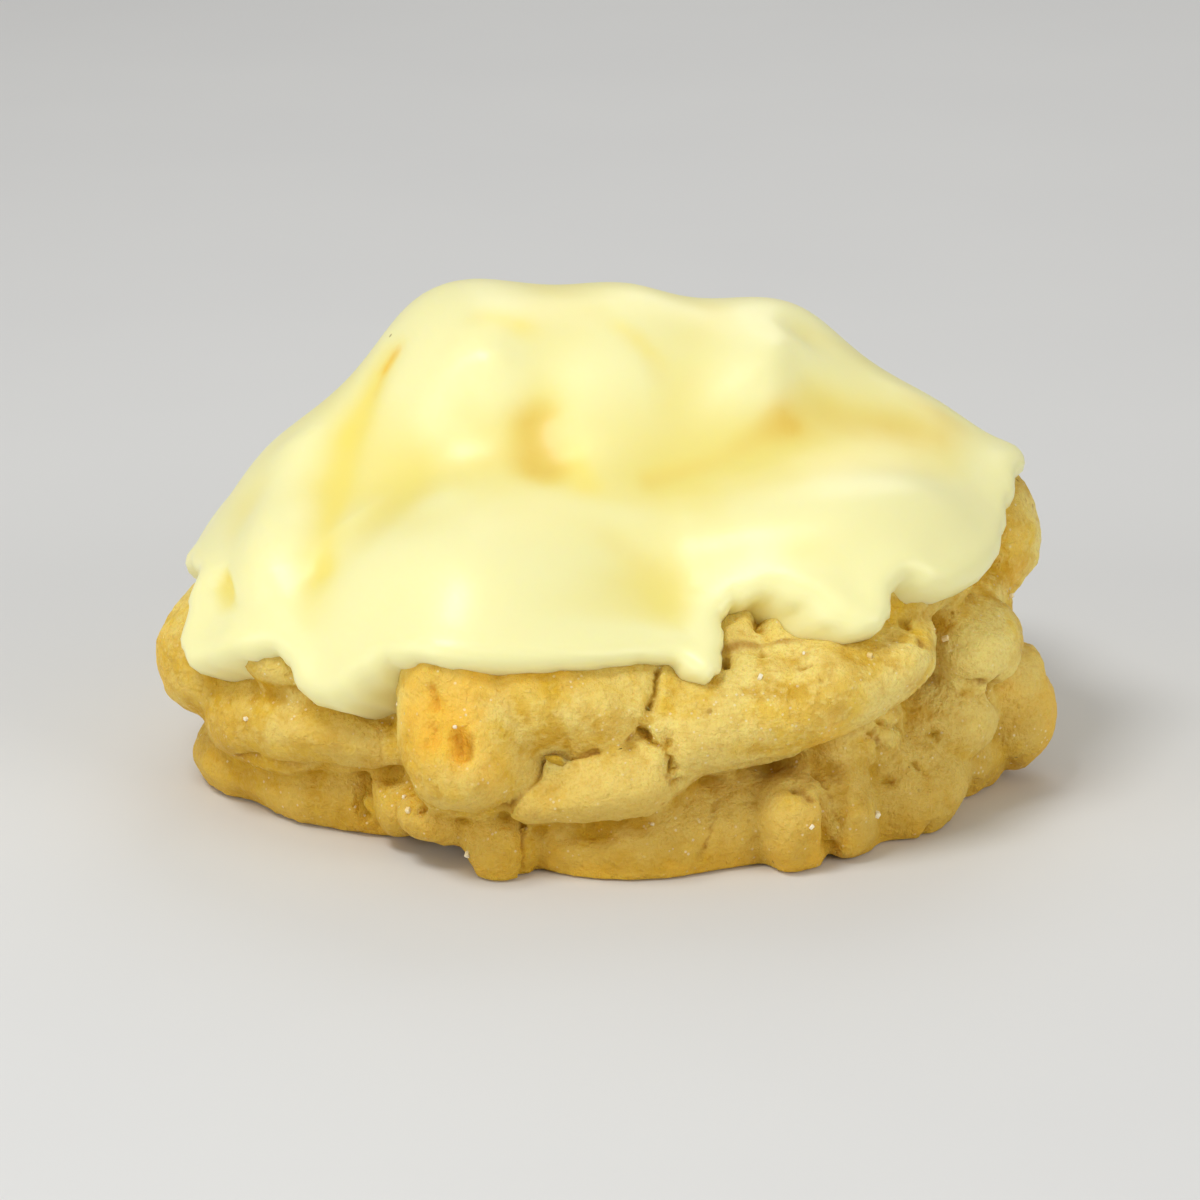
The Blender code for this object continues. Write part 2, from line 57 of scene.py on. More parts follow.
MM = 0.001
BODY = "root"
CUT_TOLERANCE = 1e-7
# The edge of a ball of twenty triangles, in radii.
BALL_EDGE = 1.1

Point = tuple[float, float, float]
Colour = tuple[float, float, float]


def tint(red: int, green: int, blue: int) -> Colour:
    """Turns a screen colour into a linear one.

    Args:
        red: Red, 0 to 255.
        green: Green, 0 to 255.
        blue: Blue, 0 to 255.

    Returns:
        The three linear values.
    """
    parts = [part / 255 for part in (red, green, blue)]
    return tuple(p / 12.92 if p <= 0.04045 else ((p + 0.055) / 1.055) ** 2.4 for p in parts)


@dataclass(frozen=True)
class Lump:
    """One torn lump of dough, an egg shape.

    Its centre is x, y, z, and its half sizes are wide along x, deep along y and tall
    along z. Roll lifts its right side, and yaw turns it about the upright axis.
    """

    name: str
    x: float
    y: float
    z: float
    wide: float
    deep: float
    tall: float
    roll: float = 0.0
    yaw: float = 0.0

    def matrix(self) -> Matrix:
        """Stretches, rolls and turns a unit ball into the lump, at its place in metres."""
        turn = Euler((0, math.radians(-self.roll), math.radians(self.yaw)), "XYZ")
        size = Matrix.Diagonal((self.wide, self.deep, self.tall, 1.0))
        place = Matrix.Translation((self.x, self.y, self.z))
        return Matrix.Scale(MM, 4) @ place @ turn.to_matrix().to_4x4() @ size

    def lumps(self) -> list["Lump"]:
        """The lump itself, so that lumps and folds are read alike."""
        return [self]


@dataclass(frozen=True)
class Fold:
    """A long roll of dough along a line of points, thick and thin where it says.

    Each row of the path is x, y, z, and there the half thickness across the line.
    """

    name: str
    deep: float
    path: tuple[tuple[float, float, float, float], ...]
    spacing: float = 1.4

    def lumps(self) -> list[Lump]:
        """The row of close lumps that together make the roll.

        Returns:
            The lumps, in order along the roll.
        """
        row = []
        for start, end in zip(self.path, self.path[1:]):
            a, b = np.array(start), np.array(end)
            count = max(1, math.ceil(np.linalg.norm((b - a)[:3]) / self.spacing))
            for step in range(count):
                row.append(a + (b - a) * step / count)
        row.append(np.array(self.path[-1]))
        return [Lump(self.name, x, y, z, thick, self.deep, thick) for x, y, z, thick in row]


@dataclass(frozen=True)
class Stroke:
    """A soft mark along a line of points: a ridge, or a hollow where its height is negative."""

    name: str
    path: tuple[Point, ...]
    width: float
    height: float

    def weight(self, points: np.ndarray) -> np.ndarray:
        """How strongly the mark shows at each point.

        Args:
            points: Rows of places, in millimetres.

        Returns:
            One value for each point, 1 on the line and 0 far from it.
        """
        nearest = np.full(len(points), np.inf)
        stops = self.path if len(self.path) > 1 else self.path * 2
        for start, end in zip(stops, stops[1:]):
            origin, along = np.array(start, float), np.subtract(end, start).astype(float)
            share = np.clip((points - origin) @ along / max(along @ along, 1e-9), 0, 1)
            gap = np.linalg.norm(points - origin - share[:, None] * along, axis=1)
            nearest = np.minimum(nearest, gap)
        return np.exp(-((nearest / self.width) ** 2))


def strokes(*rows: tuple[str, tuple[Point, ...], float, float]) -> tuple[Stroke, ...]:
    """Makes strokes from rows of a name, a path, a width and a height."""
    return tuple(Stroke(*row) for row in rows)


def total_of(marks: Iterable[Stroke], points: np.ndarray) -> np.ndarray:
    """Adds up the heights of the strokes at each point.

    Args:
        marks: The strokes.
        points: Rows of places, in millimetres.

    Returns:
        One height for each point, in millimetres.
    """
    heights = np.zeros(len(points))
    for stroke in marks:
        heights += stroke.height * stroke.weight(points)
    return heights


# The mound under the icing.
MOUND = (
    Lump("heart", 0, 0, 10, 28, 25, 20),
    Lump("peak", -10.0, 2, 28.0, 9.8, 12, 10.0),
    Lump("crown", 0, 2, 27.5, 10, 12, 10.0),
    Lump("second dome", 11.8, 3, 27.0, 9.0, 12, 9.4, -12),
    Lump("right slope", 21.4, 0, 21.8, 10.8, 12, 8.7, -37),
    Lump("right shoulder", 26.8, -2, 20.6, 6.0, 10, 6.4),
    Lump("left slope", -21.8, 1, 18.8, 12, 12, 8.0, 45),
    Lump("front lip", 16.5, -13.5, 20.0, 13.5, 10, 7.0),
    Lump("front left lip", -9.5, -18, 17.5, 12.0, 10, 8.0),
    Lump("left lip", -23.0, -11, 15.5, 7.0, 9, 8.5, 15),
    Lump("back lip", 2, 17, 19, 18, 11, 10),
    Lump("back left lip", -16, 14, 16, 12, 10, 9),
    Lump("back right lip", 20, 13, 17, 11, 10, 9),
)

# The folds and lumps that show below the icing at the front and the sides.
FRONT = (
    Fold("beak fold", 6.0, (
        (-11.6, -27.0, 14.8, 4.9), (-11.0, -28.9, 11.4, 5.9), (-11.0, -29.9, 8.6, 4.4),
    )),
    Fold("beak shoulder", 6.4, (
        (-6.0, -27.0, 13.6, 4.6), (-1.0, -26.4, 13.4, 4.5), (3.4, -25.2, 12.9, 4.2),
    )),
    Fold("band", 6.4, (
        (4.4, -26.6, 10.8, 3.8), (8.2, -26.8, 11.5, 4.4), (12.6, -26.0, 12.9, 4.6),
        (17.8, -24.2, 14.5, 4.3), (22.8, -21.8, 15.3, 3.8),
    )),
    Fold("tucked fold", 5.8, (
        (-5.6, -28.0, 6.4, 2.8), (-1.6, -28.8, 7.1, 3.4), (2.4, -28.4, 8.0, 3.3),
        (5.6, -27.2, 9.2, 2.7),
    )),
    Lump("band shelf", 16.3, -18, 18.0, 8.2, 7.5, 3.0, 4),
    Lump("shelf crest", 10.6, -19.8, 17.4, 4.2, 6.6, 2.9, 12),
    Lump("right cheek", 29.6, -13.0, 13.1, 4.8, 6.6, 4.3),
    Lump("right wall", 32.6, -2, 19.6, 3.6, 6.5, 5.3),
    Lump("right flank", 29.6, -5, 13.6, 4.4, 8, 6.0),
    Lump("right nub", 33.9, -8, 5.2, 4.0, 4.8, 4.4),
    Lump("right nub top", 33.4, -9, 8.6, 3.0, 4.2, 3.0),
    Lump("right hollow", 26.6, -14.0, 7.4, 6.0, 6.4, 4.0),
    Lump("under band", 17.6, -19.2, 8.2, 6.5, 7.0, 3.8, 14),
    Lump("knob", 14.9, -26.8, 3.0, 4.0, 5.4, 4.7),
    Fold("knob rib", 4.8, (
        (18.7, -23.4, 6.0, 1.9), (19.6, -24.4, 3.6, 2.3), (19.9, -24.6, 1.6, 2.3),
    )),
    Lump("foot front", 1.6, -23.3, 1.6, 12.0, 9.2, 6.2),
    Lump("foot front end", 9.6, -21.0, 2.0, 6.5, 9.0, 6.2),
    Lump("foot right", 21.2, -15.9, 2.4, 8.6, 9.0, 6.4, 8),
    Lump("foot right side", 26.6, -7, 2.6, 7.2, 9.6, 5.4, 6),
    Lump("foot knob", -8.4, -29.2, 1.8, 2.8, 4.2, 3.6),
    Lump("foot flap", -13.2, -27.4, 3.5, 3.7, 3.7, 2.4, -32),
    Lump("foot left front", -15.8, -20.8, 3.6, 4.1, 6.6, 4.1, -6),
    Fold("foot left rim", 7.4, (
        (-30.2, -7.6, 2.6, 4.1), (-25.6, -12.2, 2.4, 4.3), (-21.0, -15.2, 2.4, 4.3),
        (-17.2, -17.0, 2.8, 4.2),
    )),
    Fold("left roll", 7.2, (
        (-29.6, -12.4, 7.4, 3.7), (-25.6, -15.8, 8.2, 4.4), (-23.0, -17.0, 8.3, 3.9),
        (-20.2, -18.2, 8.6, 4.4), (-15.6, -20.0, 8.8, 3.9),
    )),
    Lump("left ear", -31.4, -8.5, 11.4, 6.2, 7.2, 5.8, -2),
    Lump("left ear root", -24.8, -14.5, 13.2, 6.2, 8, 4.4, -20),
)

# The back carries on with the same kinds of lump.
BACK = (
    Lump("foot back right", 22, 14, 4.2, 10, 10, 5.0, 0, 35),
    Lump("foot back", 10, 25, 4.4, 9, 8, 5.2, 0, 12),
    Lump("foot back left", -8, 26, 4.2, 9, 7.5, 4.8, 0, -10),
    Lump("foot back far left", -22, 18, 4.4, 9.5, 8, 5.2, 0, -38),
    Lump("foot back end", -29, 5, 4.2, 6, 8, 4.6),
    Lump("back fold right", 24, 14, 12.0, 8.5, 7, 4.8, 6, 38),
    Lump("back fold", 13, 23.5, 12.5, 8.5, 7, 5.4, -8, 15),
    Lump("back band", -3, 25.5, 11.8, 9, 7, 4.6, 8, -4),
    Lump("back band end", -15, 22, 13.2, 6.5, 7, 5.2, 0, -30),
    Lump("back cheek", -24.5, 13.5, 12.0, 8, 6.5, 4.8, -8, -50),
    Lump("back ear", -29.0, 4, 12.5, 5.0, 7, 4.6),
    Lump("right back wall", 29.5, 6, 11.0, 4.2, 7, 6.0),
    Lump("back knob", 5, 31, 6.0, 3.4, 3.4, 4.2),
    Lump("back nub", 22, 25, 7.0, 3.2, 3.4, 3.4),
    Lump("back rib", -16.5, 27.5, 6.0, 2.4, 3.6, 5.0, 6),
)

# Hollows pressed into the mound, which the icing follows.
MOUND_HOLLOWS = strokes(
    ("terrace step", ((3.5, -15, 28), (10.0, -12.6, 29), (15.6, -9.5, 31), (22.5, -7, 30)), 3.2, -2.8),
    ("dimple hollow", ((-6.0, -11, 30), (-4.6, -14, 27.5)), 3.0, -1.5),
    ("crown notch", ((8.7, 3, 37), (8.7, -3, 36.5)), 2.2, -1.8),
    ("back hollow", ((-10, 19, 27), (3, 21, 27)), 4.0, -1.6),
)

# The wider cracks and the pits that show in the folds.
DOUGH_STROKES = strokes(
    ("band crack", ((4.4, -32.5, 15), (4.2, -32.8, 12.5), (5.0, -32.6, 11)), 0.6, -1.3),
    ("tucked crack", ((4.4, -33.0, 8.8), (6.8, -32.4, 7.0)), 0.6, -1.2),
    ("cheek crack", ((26.2, -18, 17.0), (25.8, -19, 14.5), (25.2, -19.5, 12.0)), 0.8, -1.8),
    ("rib crack", ((17.6, -29.6, 6.5), (17.8, -30, 4.0), (18.0, -30, 1.5)), 0.6, -1.3),
    ("beak pit", ((-11.9, -35.0, 12.6), (-11.7, -35.2, 11.8)), 0.9, -1.8),
    ("beak dent", ((-14.2, -33.8, 13.2), (-14.0, -34.2, 12.4)), 0.8, -1.0),
    ("left crevice", ((-19.2, -22.5, 6.0), (-18.8, -23.0, 3.6), (-18.4, -23, 1.5)), 0.8, -1.6),
    ("shelf pit", ((14.2, -25.5, 19.6), (15.4, -25.5, 19.2)), 0.8, -1.9),
    ("small shelf pit", ((11.0, -26.2, 20.0), (11.6, -26.4, 19.0)), 0.6, -1.5),
    ("shelf crack", ((11.2, -26.5, 19.0), (12.2, -27.5, 17.6)), 0.5, -1.0),
    ("band dent", ((7.0, -32.2, 15.0), (7.6, -32.4, 14.4)), 0.8, -0.9),
)

# The narrow creases where one fold meets the next, and the cracks baked open in them.
CREASES = strokes(
    ("beak tip", ((-15.4, -32.0, 7.4), (-12.6, -33.5, 4.9), (-10.1, -32.8, 4.4)), 0.6, -1.3),
    ("beak under", ((-10.1, -32.8, 5.0), (-7.3, -32.5, 6.7), (-4.0, -30.8, 9.0)), 0.5, -0.7),
    ("fold line", ((-4.0, -30.8, 9.0), (-1.5, -31.8, 10.7), (2.6, -31.9, 12.0)), 0.4, -0.6),
    ("band crack", ((2.6, -31.9, 12.0), (4.3, -33.0, 10.8), (5.3, -32.9, 9.6)), 0.32, -1.2),
    ("tucked end", ((-6.6, -31.8, 6.7), (-5.2, -30.9, 7.6), (-3.6, -31, 8.5)), 1.1, 1.9),
    ("tucked root", ((-3.4, -30.8, 8.8), (-1.5, -31.2, 10.1), (0.6, -31.4, 11.1)), 0.9, 1.2),
    ("tucked tip", ((-6.4, -32.6, 5.9), (-5.8, -33, 5.9)), 1.0, 0.5),
    ("tucked base", ((-3.9, -32, 3.8), (-0.5, -32.6, 4.1), (3, -32.4, 5), (6, -31.6, 6)), 0.7, -1.7),
    ("band under", ((6, -31.6, 6), (9, -30.8, 7.6), (13, -29.6, 8.6), (20.2, -27, 10.2)), 0.7, -1.7),
    ("shoulder crack", ((3.9, -28.8, 16.5), (3.6, -30.0, 15.7), (3.1, -31.6, 13.6)), 0.32, -1.0),
    ("knob left", ((-7.0, -31.4, 4.7), (-6.6, -32.0, 2.5), (-6.9, -32.0, 0.3)), 0.4, -1.0),
    ("knob arc", ((14, -29.4, 7.4), (16, -30.2, 6.2), (17.5, -29.4, 3.8), (18, -29, 1)), 0.4, -1.0),
    ("rib crack", ((16.4, -27, 7.6), (17.2, -28.4, 6.6), (18.4, -28.6, 3.8)), 0.32, -1.0),
    ("foot crack", ((8.9, -28, 7.0), (8.3, -30.3, 4.6), (7.5, -31.4, 1.5)), 0.3, -0.4),
    ("flap line", ((-15.0, -30.3, 4.7), (-14.6, -31.5, 6.6)), 0.35, -0.9),
    ("left front", ((-19.9, -22.6, 5.2), (-20.2, -23.0, 3.2), (-19.6, -23.2, 1.7)), 0.4, -0.9),
    ("roll under", ((-32.0, -15, 5.2), (-28.4, -20.2, 5.4), (-24.1, -22.6, 5.2)), 0.5, -1.2),
    ("roll shadow", ((-24.1, -22.6, 5.2), (-20.8, -24.0, 5.6), (-17.0, -26, 6.4)), 0.5, -1.2),
    ("roll top", ((-27.5, -21.3, 12.0), (-22.4, -23.9, 11.8), (-17.6, -25.1, 11.0)), 0.5, -0.9),
    ("roll split", ((-31.0, -18.0, 9.4), (-30.2, -19.2, 7.2)), 0.3, -0.8),
    ("beak crack", ((-13.9, -32.3, 15.9), (-13.6, -32.8, 14.8)), 0.4, -0.9),
    ("beak ridge", ((-10.6, -33.8, 12.2), (-10.9, -34.4, 10.6), (-12, -34.4, 9.4)), 0.8, 0.5),
    ("torn lip", ((9.4, -26.9, 17.6), (12.2, -26.6, 18), (15.2, -26.2, 17.8)), 0.7, 0.4),
    ("pit a", ((11.9, -23.0, 19.4), (12.2, -24.6, 18.7)), 0.6, -1.5),
    ("pit b", ((14.7, -24.5, 19.0), (15.6, -24.4, 18.2)), 0.7, -1.6),
    ("pit c", ((9.2, -27.4, 16.8), (9.5, -28.1, 16.3)), 0.5, -1.1),
    ("pit d", ((15.0, -29.2, 16.7), (15.9, -29.1, 16.9)), 0.4, -0.7),
    ("cheek left", ((23.8, -23, 18.4), (24.6, -25, 17), (25.3, -25, 15), (24, -26, 14)), 0.5, -1.2),
    ("cheek under", ((25.3, -24.0, 13.0), (28.5, -19.5, 11.2), (31.0, -17.3, 12.0)), 0.6, -1.2),
    ("nub left", ((31.6, -17.5, 12.0), (31.8, -14.6, 8.5), (31.3, -14.7, 4.9)), 0.5, -1.1),
    ("hollow line", ((20.7, -25.7, 11.1), (24.2, -21.4, 9.0), (27.0, -20.1, 7.8)), 0.4, -0.8),
    ("right fold", ((20.6, -25.5, 10.2), (21.8, -24.9, 8.5), (22.8, -23.5, 5.0)), 0.4, -0.9),
    ("foot right crack", ((24.8, -22.4, 6.4), (26.0, -23.2, 3.5), (25.8, -22.7, 0.2)), 0.32, -0.7),
    ("wall crack", ((31.5, -12.0, 17.4), (33.6, -10.0, 16.6)), 0.4, -0.9),
    ("back crack", ((2.0, 31.0, 9.0), (1.0, 32.0, 5.0), (1.6, 31.5, 1.0)), 0.4, -0.9),
    ("back fold line", ((-10, 30.5, 9.6), (0, 31.5, 9.2), (9, 30.5, 8.8), (17, 27.5, 8)), 0.6, -1.2),
    ("back left line", ((-30, 11, 8.2), (-25, 20, 8.6), (-17, 27, 9.4)), 0.6, -1.2),
    ("back right line", ((33, 8, 7.6), (29, 18, 8.0), (22, 24.5, 9.0)), 0.6, -1.2),
)

# The icing's lower edge all the way round: azimuth and height, drip by drip.
EDGE = (
    (-180, 17.5), (-168, 14.0), (-158, 16.5), (-148, 18.0), (-138, 15.0), (-130, 13.5),
    (-122, 16.0), (-112, 18.5), (-104, 17.5), (-97, 14.6), (-91, 14.0), (-86, 15.4), (-80, 17.0),
    (-74, 17.4), (-70.5, 15.6), (-67.5, 12.8), (-64, 11.6), (-60, 12.6), (-54.7, 14.0),
    (-50.5, 14.9), (-48.4, 14.2), (-46.2, 12.4), (-43, 11.6), (-38.8, 11.5), (-36, 12.6),
    (-33, 14.6), (-30, 16.4), (-25, 17.2), (-8, 17.0), (4, 16.9), (9.5, 16.7), (12, 15.9),
    (14.2, 15.6), (16.4, 16.2), (18.2, 17.6), (20.2, 19.2), (22.4, 19.9), (27, 20.6), (30, 20.2),
    (32.5, 19.0), (35, 18.3), (38.5, 18.4), (41, 19.2), (43.6, 20.8), (45.4, 21.2), (48, 20.2),
    (52, 19.6), (58, 19.6), (66, 20.0), (72, 21.0), (77, 22.6), (83, 24.2), (90, 24.0), (97, 21.6),
    (103, 18.5), (110, 16.0), (117, 18.0), (126, 20.0), (134, 18.0), (141, 16.8), (149, 19.0),
    (158, 19.5), (166, 17.0), (173, 18.8),
)

# The flow marks of the poured icing: ridges, terraces and the hollows between them.
ICING_STROKES = strokes(
    ("brow", ((-8.4, -9.0, 34.6), (-8.2, -10.6, 33)), 2.0, 1.5),
    ("dimple", ((-5.6, -10.8, 31), (-4.6, -13.6, 28.6)), 2.2, -0.8),
    ("dimple rim", ((-13.2, -16, 27), (-13.6, -10, 32), (-10.0, -6, 35.5)), 2.3, 0.6),
    ("terrace rim", ((0, -13.5, 29.8), (5.8, -11.6, 31.2), (11.4, -8.5, 33), (13.4, -5, 35.4)), 1.9, 1.2),
    ("terrace foot", (
        (4.0, -15.2, 27.8), (9.6, -13, 29), (14.6, -10.2, 31), (16.4, -6.5, 33.4),
    ), 1.6, -1.3),
    ("right hollow", ((18.3, -6.5, 32), (24.0, -5.5, 30.4)), 2.8, -0.8),
    ("flow ridge", ((13.4, -1.5, 37), (17.5, -4.2, 34.2), (21.5, -4.8, 32)), 1.3, 0.8),
    ("flow groove", ((16.6, -0.5, 36), (21.5, -2.6, 33)), 1.1, -0.7),
    ("far flow ridge", ((20.5, 1, 34.5), (26.5, -2.5, 30.5)), 1.4, 0.8),
    ("front swell", ((3, -19.5, 26), (15, -20, 26), (28, -12, 25)), 3.5, 0.6),
    ("left swell", ((-10, -26, 23),), 4.5, 0.7),
    ("front fold", ((1, -20.5, 25.5), (4.5, -24.5, 21.5)), 1.8, -0.5),
    ("left valley", (
        (-18.8, -2.5, 34.5), (-21.4, -6, 28.7), (-22.1, -9.5, 26.2), (-22.9, -18.8, 21.4),
    ), 2.2, -0.9),
    ("left ridge", ((-25.0, -4, 27), (-26, -10, 23.5), (-26, -16, 20)), 2.4, 0.6),
    ("lobe crease", ((-30.4, -13.4, 18.4), (-28.0, -16.5, 16.8), (-25.2, -19.0, 15.8)), 1.0, -1.2),
    ("thin lobe", ((-32.5, -12, 14.0), (-29.5, -15.5, 14.5)), 2.2, -0.7),
    ("drip swell", ((-20.8, -24.5, 15.5),), 3.4, 0.7),
    ("crown notch", ((8.7, 4, 38.5), (8.5, -1, 38.2), (7.0, -4.5, 37)), 1.5, -0.9),
    ("crown groove", ((-1, -3, 38.2), (4, -7, 36.2)), 1.3, -0.4),
    ("back flow", ((-2, 14, 34), (-5, 22, 26)), 2.0, -0.8),
    ("back right flow", ((14, 12, 33), (18, 19, 25)), 2.0, 0.8),
    ("back left flow", ((-16, 10, 31), (-20, 16, 23)), 2.2, 0.8),
)

# Fine ripples of the set icing, too small for the solid.
ICING_RIPPLES = strokes(
    ("ridge by the tongue", ((16.0, -3.4, 35.4), (17.8, -5.0, 33.2), (19.4, -5.8, 31.4)), 0.8, 0.7),
    ("second ridge", ((18.8, -1.6, 34.4), (21.0, -2.8, 32.6), (23.4, -3.8, 30.8)), 0.8, 0.5),
    ("tongue tip", ((10.6, -8.6, 33.2), (13.6, -6.8, 34.4)), 1.1, 0.5),
    ("tongue foot", ((9.8, -11.4, 30.6), (13.6, -8.8, 32.2), (15.2, -6.2, 33.8)), 0.8, -0.6),
    ("right shoulder", ((16.6, 0.5, 36.4),), 2.6, -0.8),
    ("notch", ((8.4, 3.0, 38.2), (9.2, -2.0, 37.4)), 1.3, -0.6),
    ("dimple side", ((-4.0, -12.2, 29.8),), 1.4, 0.35),
    ("crown ripple", ((-4.0, -9.0, 34.6), (0.5, -10.4, 33.2)), 0.9, 0.35),
    ("back ripple", ((-4, 15, 32.5), (1, 17.5, 30.5), (4, 21, 27)), 1.0, 0.45),
    ("back left ripple", ((-17, 11, 29.5), (-19, 16, 24.5)), 1.0, -0.5),
)


@dataclass
class Skin:
    """A mesh object together with the measurements that shaping it needs."""

    obj: bpy.types.Object

    @classmethod
    def of_mesh(cls, name: str, bm: bmesh.types.BMesh) -> "Skin":
        """Puts a bmesh into a new object of the scene.

        Args:
            name: The object's name.
            bm: The mesh, which is used up.

        Returns:
            The new skin.
        """
        mesh = bpy.data.meshes.new(name)
        bm.to_mesh(mesh)
        bm.free()
        obj = bpy.data.objects.new(name, mesh)
        bpy.context.scene.collection.objects.link(obj)
        return cls(obj)

    def points(self) -> np.ndarray:
        """The mesh's points as rows, in millimetres."""
        flat = np.empty(len(self.obj.data.vertices) * 3)
        self.obj.data.vertices.foreach_get("co", flat)
        return flat.reshape(-1, 3) / MM

    def normals(self) -> np.ndarray:
        """The point normals as rows."""
        flat = np.empty(len(self.obj.data.vertices) * 3)
        self.obj.data.vertex_normals.foreach_get("vector", flat)
        return flat.reshape(-1, 3)

    def move(self, points: np.ndarray) -> None:
        """Gives the points new places, in millimetres."""
        self.obj.data.vertices.foreach_set("co", (points * MM).ravel())
        self.obj.data.update()

    def raise_by(self, heights: np.ndarray) -> None:
        """Moves each point out along its normal by its own height, in millimetres."""
        self.move(self.points() + self.normals() * heights[:, None])

    def tree(self) -> BVHTree:
        """A search tree over the faces, in metres."""
        bm = bmesh.new()
        bm.from_mesh(self.obj.data)
        tree = BVHTree.FromBMesh(bm)
        bm.free()
        return tree

    def neighbour_mean(self) -> Callable[[np.ndarray], np.ndarray]:
        """Makes a function that averages a value over each point's neighbours.

        Returns:
            The function, from one value for each point to another.
        """
        ends = np.empty(len(self.obj.data.edges) * 2, np.int32)
        self.obj.data.edges.foreach_get("vertices", ends)
        a, b = ends.reshape(-1, 2).T
        count = np.bincount(ends, minlength=len(self.obj.data.vertices))
        size = len(count)

        def mean(values: np.ndarray) -> np.ndarray:
            """Averages the values of the neighbours."""
            near = np.bincount(a, values[b], size) + np.bincount(b, values[a], size)
            return near / count

        return mean

    def hollowness(self, rounds: int) -> np.ndarray:
        """How deep each point lies below the smoothed surface, in millimetres.

        Args:
            rounds: How many times the surface is smoothed, which sets the width looked at.

        Returns:
            One value for each point, above 0 in creases and below 0 on crests.
        """
        mean = self.neighbour_mean()
        before = self.points()
        after = before.copy()
        for _ in range(rounds):
            after = np.column_stack([mean(axis) for axis in after.T])
        return np.einsum("ij,ij->i", after - before, self.normals())

    def paint(self, name: str, values: np.ndarray) -> None:
        """Stores one value for each point, which a finish reads by this name."""
        layer = self.obj.data.attributes.new(name, "FLOAT", "POINT")
        layer.data.foreach_set("value", values.astype(np.float32))

    @contextmanager
    def editing(self) -> Iterator[bmesh.types.BMesh]:
        """Lends the mesh as a bmesh and writes it back afterwards."""
        bm = bmesh.new()
        bm.from_mesh(self.obj.data)
        yield bm
        bm.to_mesh(self.obj.data)
        bm.free()

    def keep_largest_body(self) -> None:
        """Drops loose scraps and sealed hollows, and leaves the one large body."""
        with self.editing() as bm:
            unseen = set(bm.verts)
            bodies = []
            while unseen:
                body = [unseen.pop()]
                for vert in body:
                    for edge in vert.link_edges:
                        other = edge.other_vert(vert)
                        if other in unseen:
                            unseen.remove(other)
                            body.append(other)
                bodies.append(body)
            bodies.sort(key=len)
            scraps = [vert for body in bodies[:-1] for vert in body]
            bmesh.ops.delete(bm, geom=scraps, context="VERTS")

    def apply_modifiers(self) -> None:
        """Replaces the mesh with what its modifiers make of it."""
        graph = bpy.context.evaluated_depsgraph_get()
        mesh = bpy.data.meshes.new_from_object(self.obj.evaluated_get(graph))
        self.obj.modifiers.clear()
        self.obj.data = mesh

    def cut_flat_base(self) -> None:
        """Cuts the body off level at the plate and closes the cut."""
        with self.editing() as bm:
            everything = bm.verts[:] + bm.edges[:] + bm.faces[:]
            plane = {"plane_co": (0, 0, 0), "plane_no": (0, 0, 1), "clear_inner": True}
            cut = bmesh.ops.bisect_plane(bm, geom=everything, dist=CUT_TOLERANCE, **plane)
            rim = [item for item in cut["geom_cut"] if isinstance(item, bmesh.types.BMEdge)]
            bmesh.ops.holes_fill(bm, edges=rim, sides=0)
            bmesh.ops.recalc_face_normals(bm, faces=bm.faces)

    def finish(self, material: bpy.types.Material) -> None:
        """Gives the mesh its one finish and smooth shading."""
        self.obj.data.materials.clear()
        self.obj.data.materials.append(material)
        self.obj.data.shade_smooth()


def wander(points: np.ndarray, wavelength: float, amplitude: float, seed: int) -> np.ndarray:
    """Offsets that bend a surface the way soft dough slumps.

    Args:
        points: Rows of places, in millimetres.
        wavelength: The size of the bends, in millimetres.
        amplitude: How far the bends reach, in millimetres.
        seed: Which of the many patterns.

    Returns:
        A row of three for each point, in millimetres.
    """
    places = [Vector(p) / wavelength for p in points]
    columns = []
    for axis in range(3):
        shift = Vector((seed * 7.3, seed * 3.1 + axis * 19.7, seed * 5.7 + axis * 41.3))
        columns.append([noise.noise(place + shift) for place in places])
    return np.array(columns).T * amplitude


def crag(points: np.ndarray, wavelength: float, seed: int, octaves: int = 3) -> np.ndarray:
    """A rough height, ridged like torn dough.

    Args:
        points: Rows of places, in millimetres.
        wavelength: The size of the largest ridges, in millimetres.
        seed: Which of the many patterns.
        octaves: How many finer and finer layers.

    Returns:
        One value for each point, about -0.5 to 1.
    """
    shift = Vector((seed * 2.9, seed * 6.1, seed * 4.3))
    rows = [noise.turbulence(Vector(p) / wavelength + shift, octaves, True) for p in points]
    return np.array(rows) - 0.5


def pebbles(points: np.ndarray, wavelength: float, seed: int) -> np.ndarray:
    """A height like packed crumbs, round on top with narrow gaps between.

    Args:
        points: Rows of places, in millimetres.
        wavelength: The size of a crumb, in millimetres.
        seed: Which of the many patterns.

    Returns:
        One value for each point, 0 in the gaps and about 1 on the crumbs.
    """
    shift = Vector((seed * 3.7, seed * 1.9, seed * 8.3))
    heights = []
    for p in points:
        near, _ = noise.voronoi(Vector(p) / wavelength + shift)
        heights.append(near[1] - near[0])
    return np.sqrt(np.clip(np.array(heights), 0, 1))


def edge_height(azimuth: np.ndarray) -> np.ndarray:
    """Height of the icing's edge, eased from one drip to the next.

    Args:
        azimuth: Azimuths, in degrees.

    Returns:
        One height for each azimuth, in millimetres.
    """
    turns = np.array([turn for turn, _ in EDGE] + [EDGE[0][0] + 360.0])
    levels = np.array([level for _, level in EDGE] + [EDGE[0][1]])
    azimuth = (azimuth + 180) % 360 - 180
    after = np.clip(np.searchsorted(turns, azimuth, "right"), 1, len(turns) - 1)
    share = (azimuth - turns[after - 1]) / (turns[after] - turns[after - 1])
    eased = share * share * (3 - 2 * share)
    return levels[after - 1] * (1 - eased) + levels[after] * eased


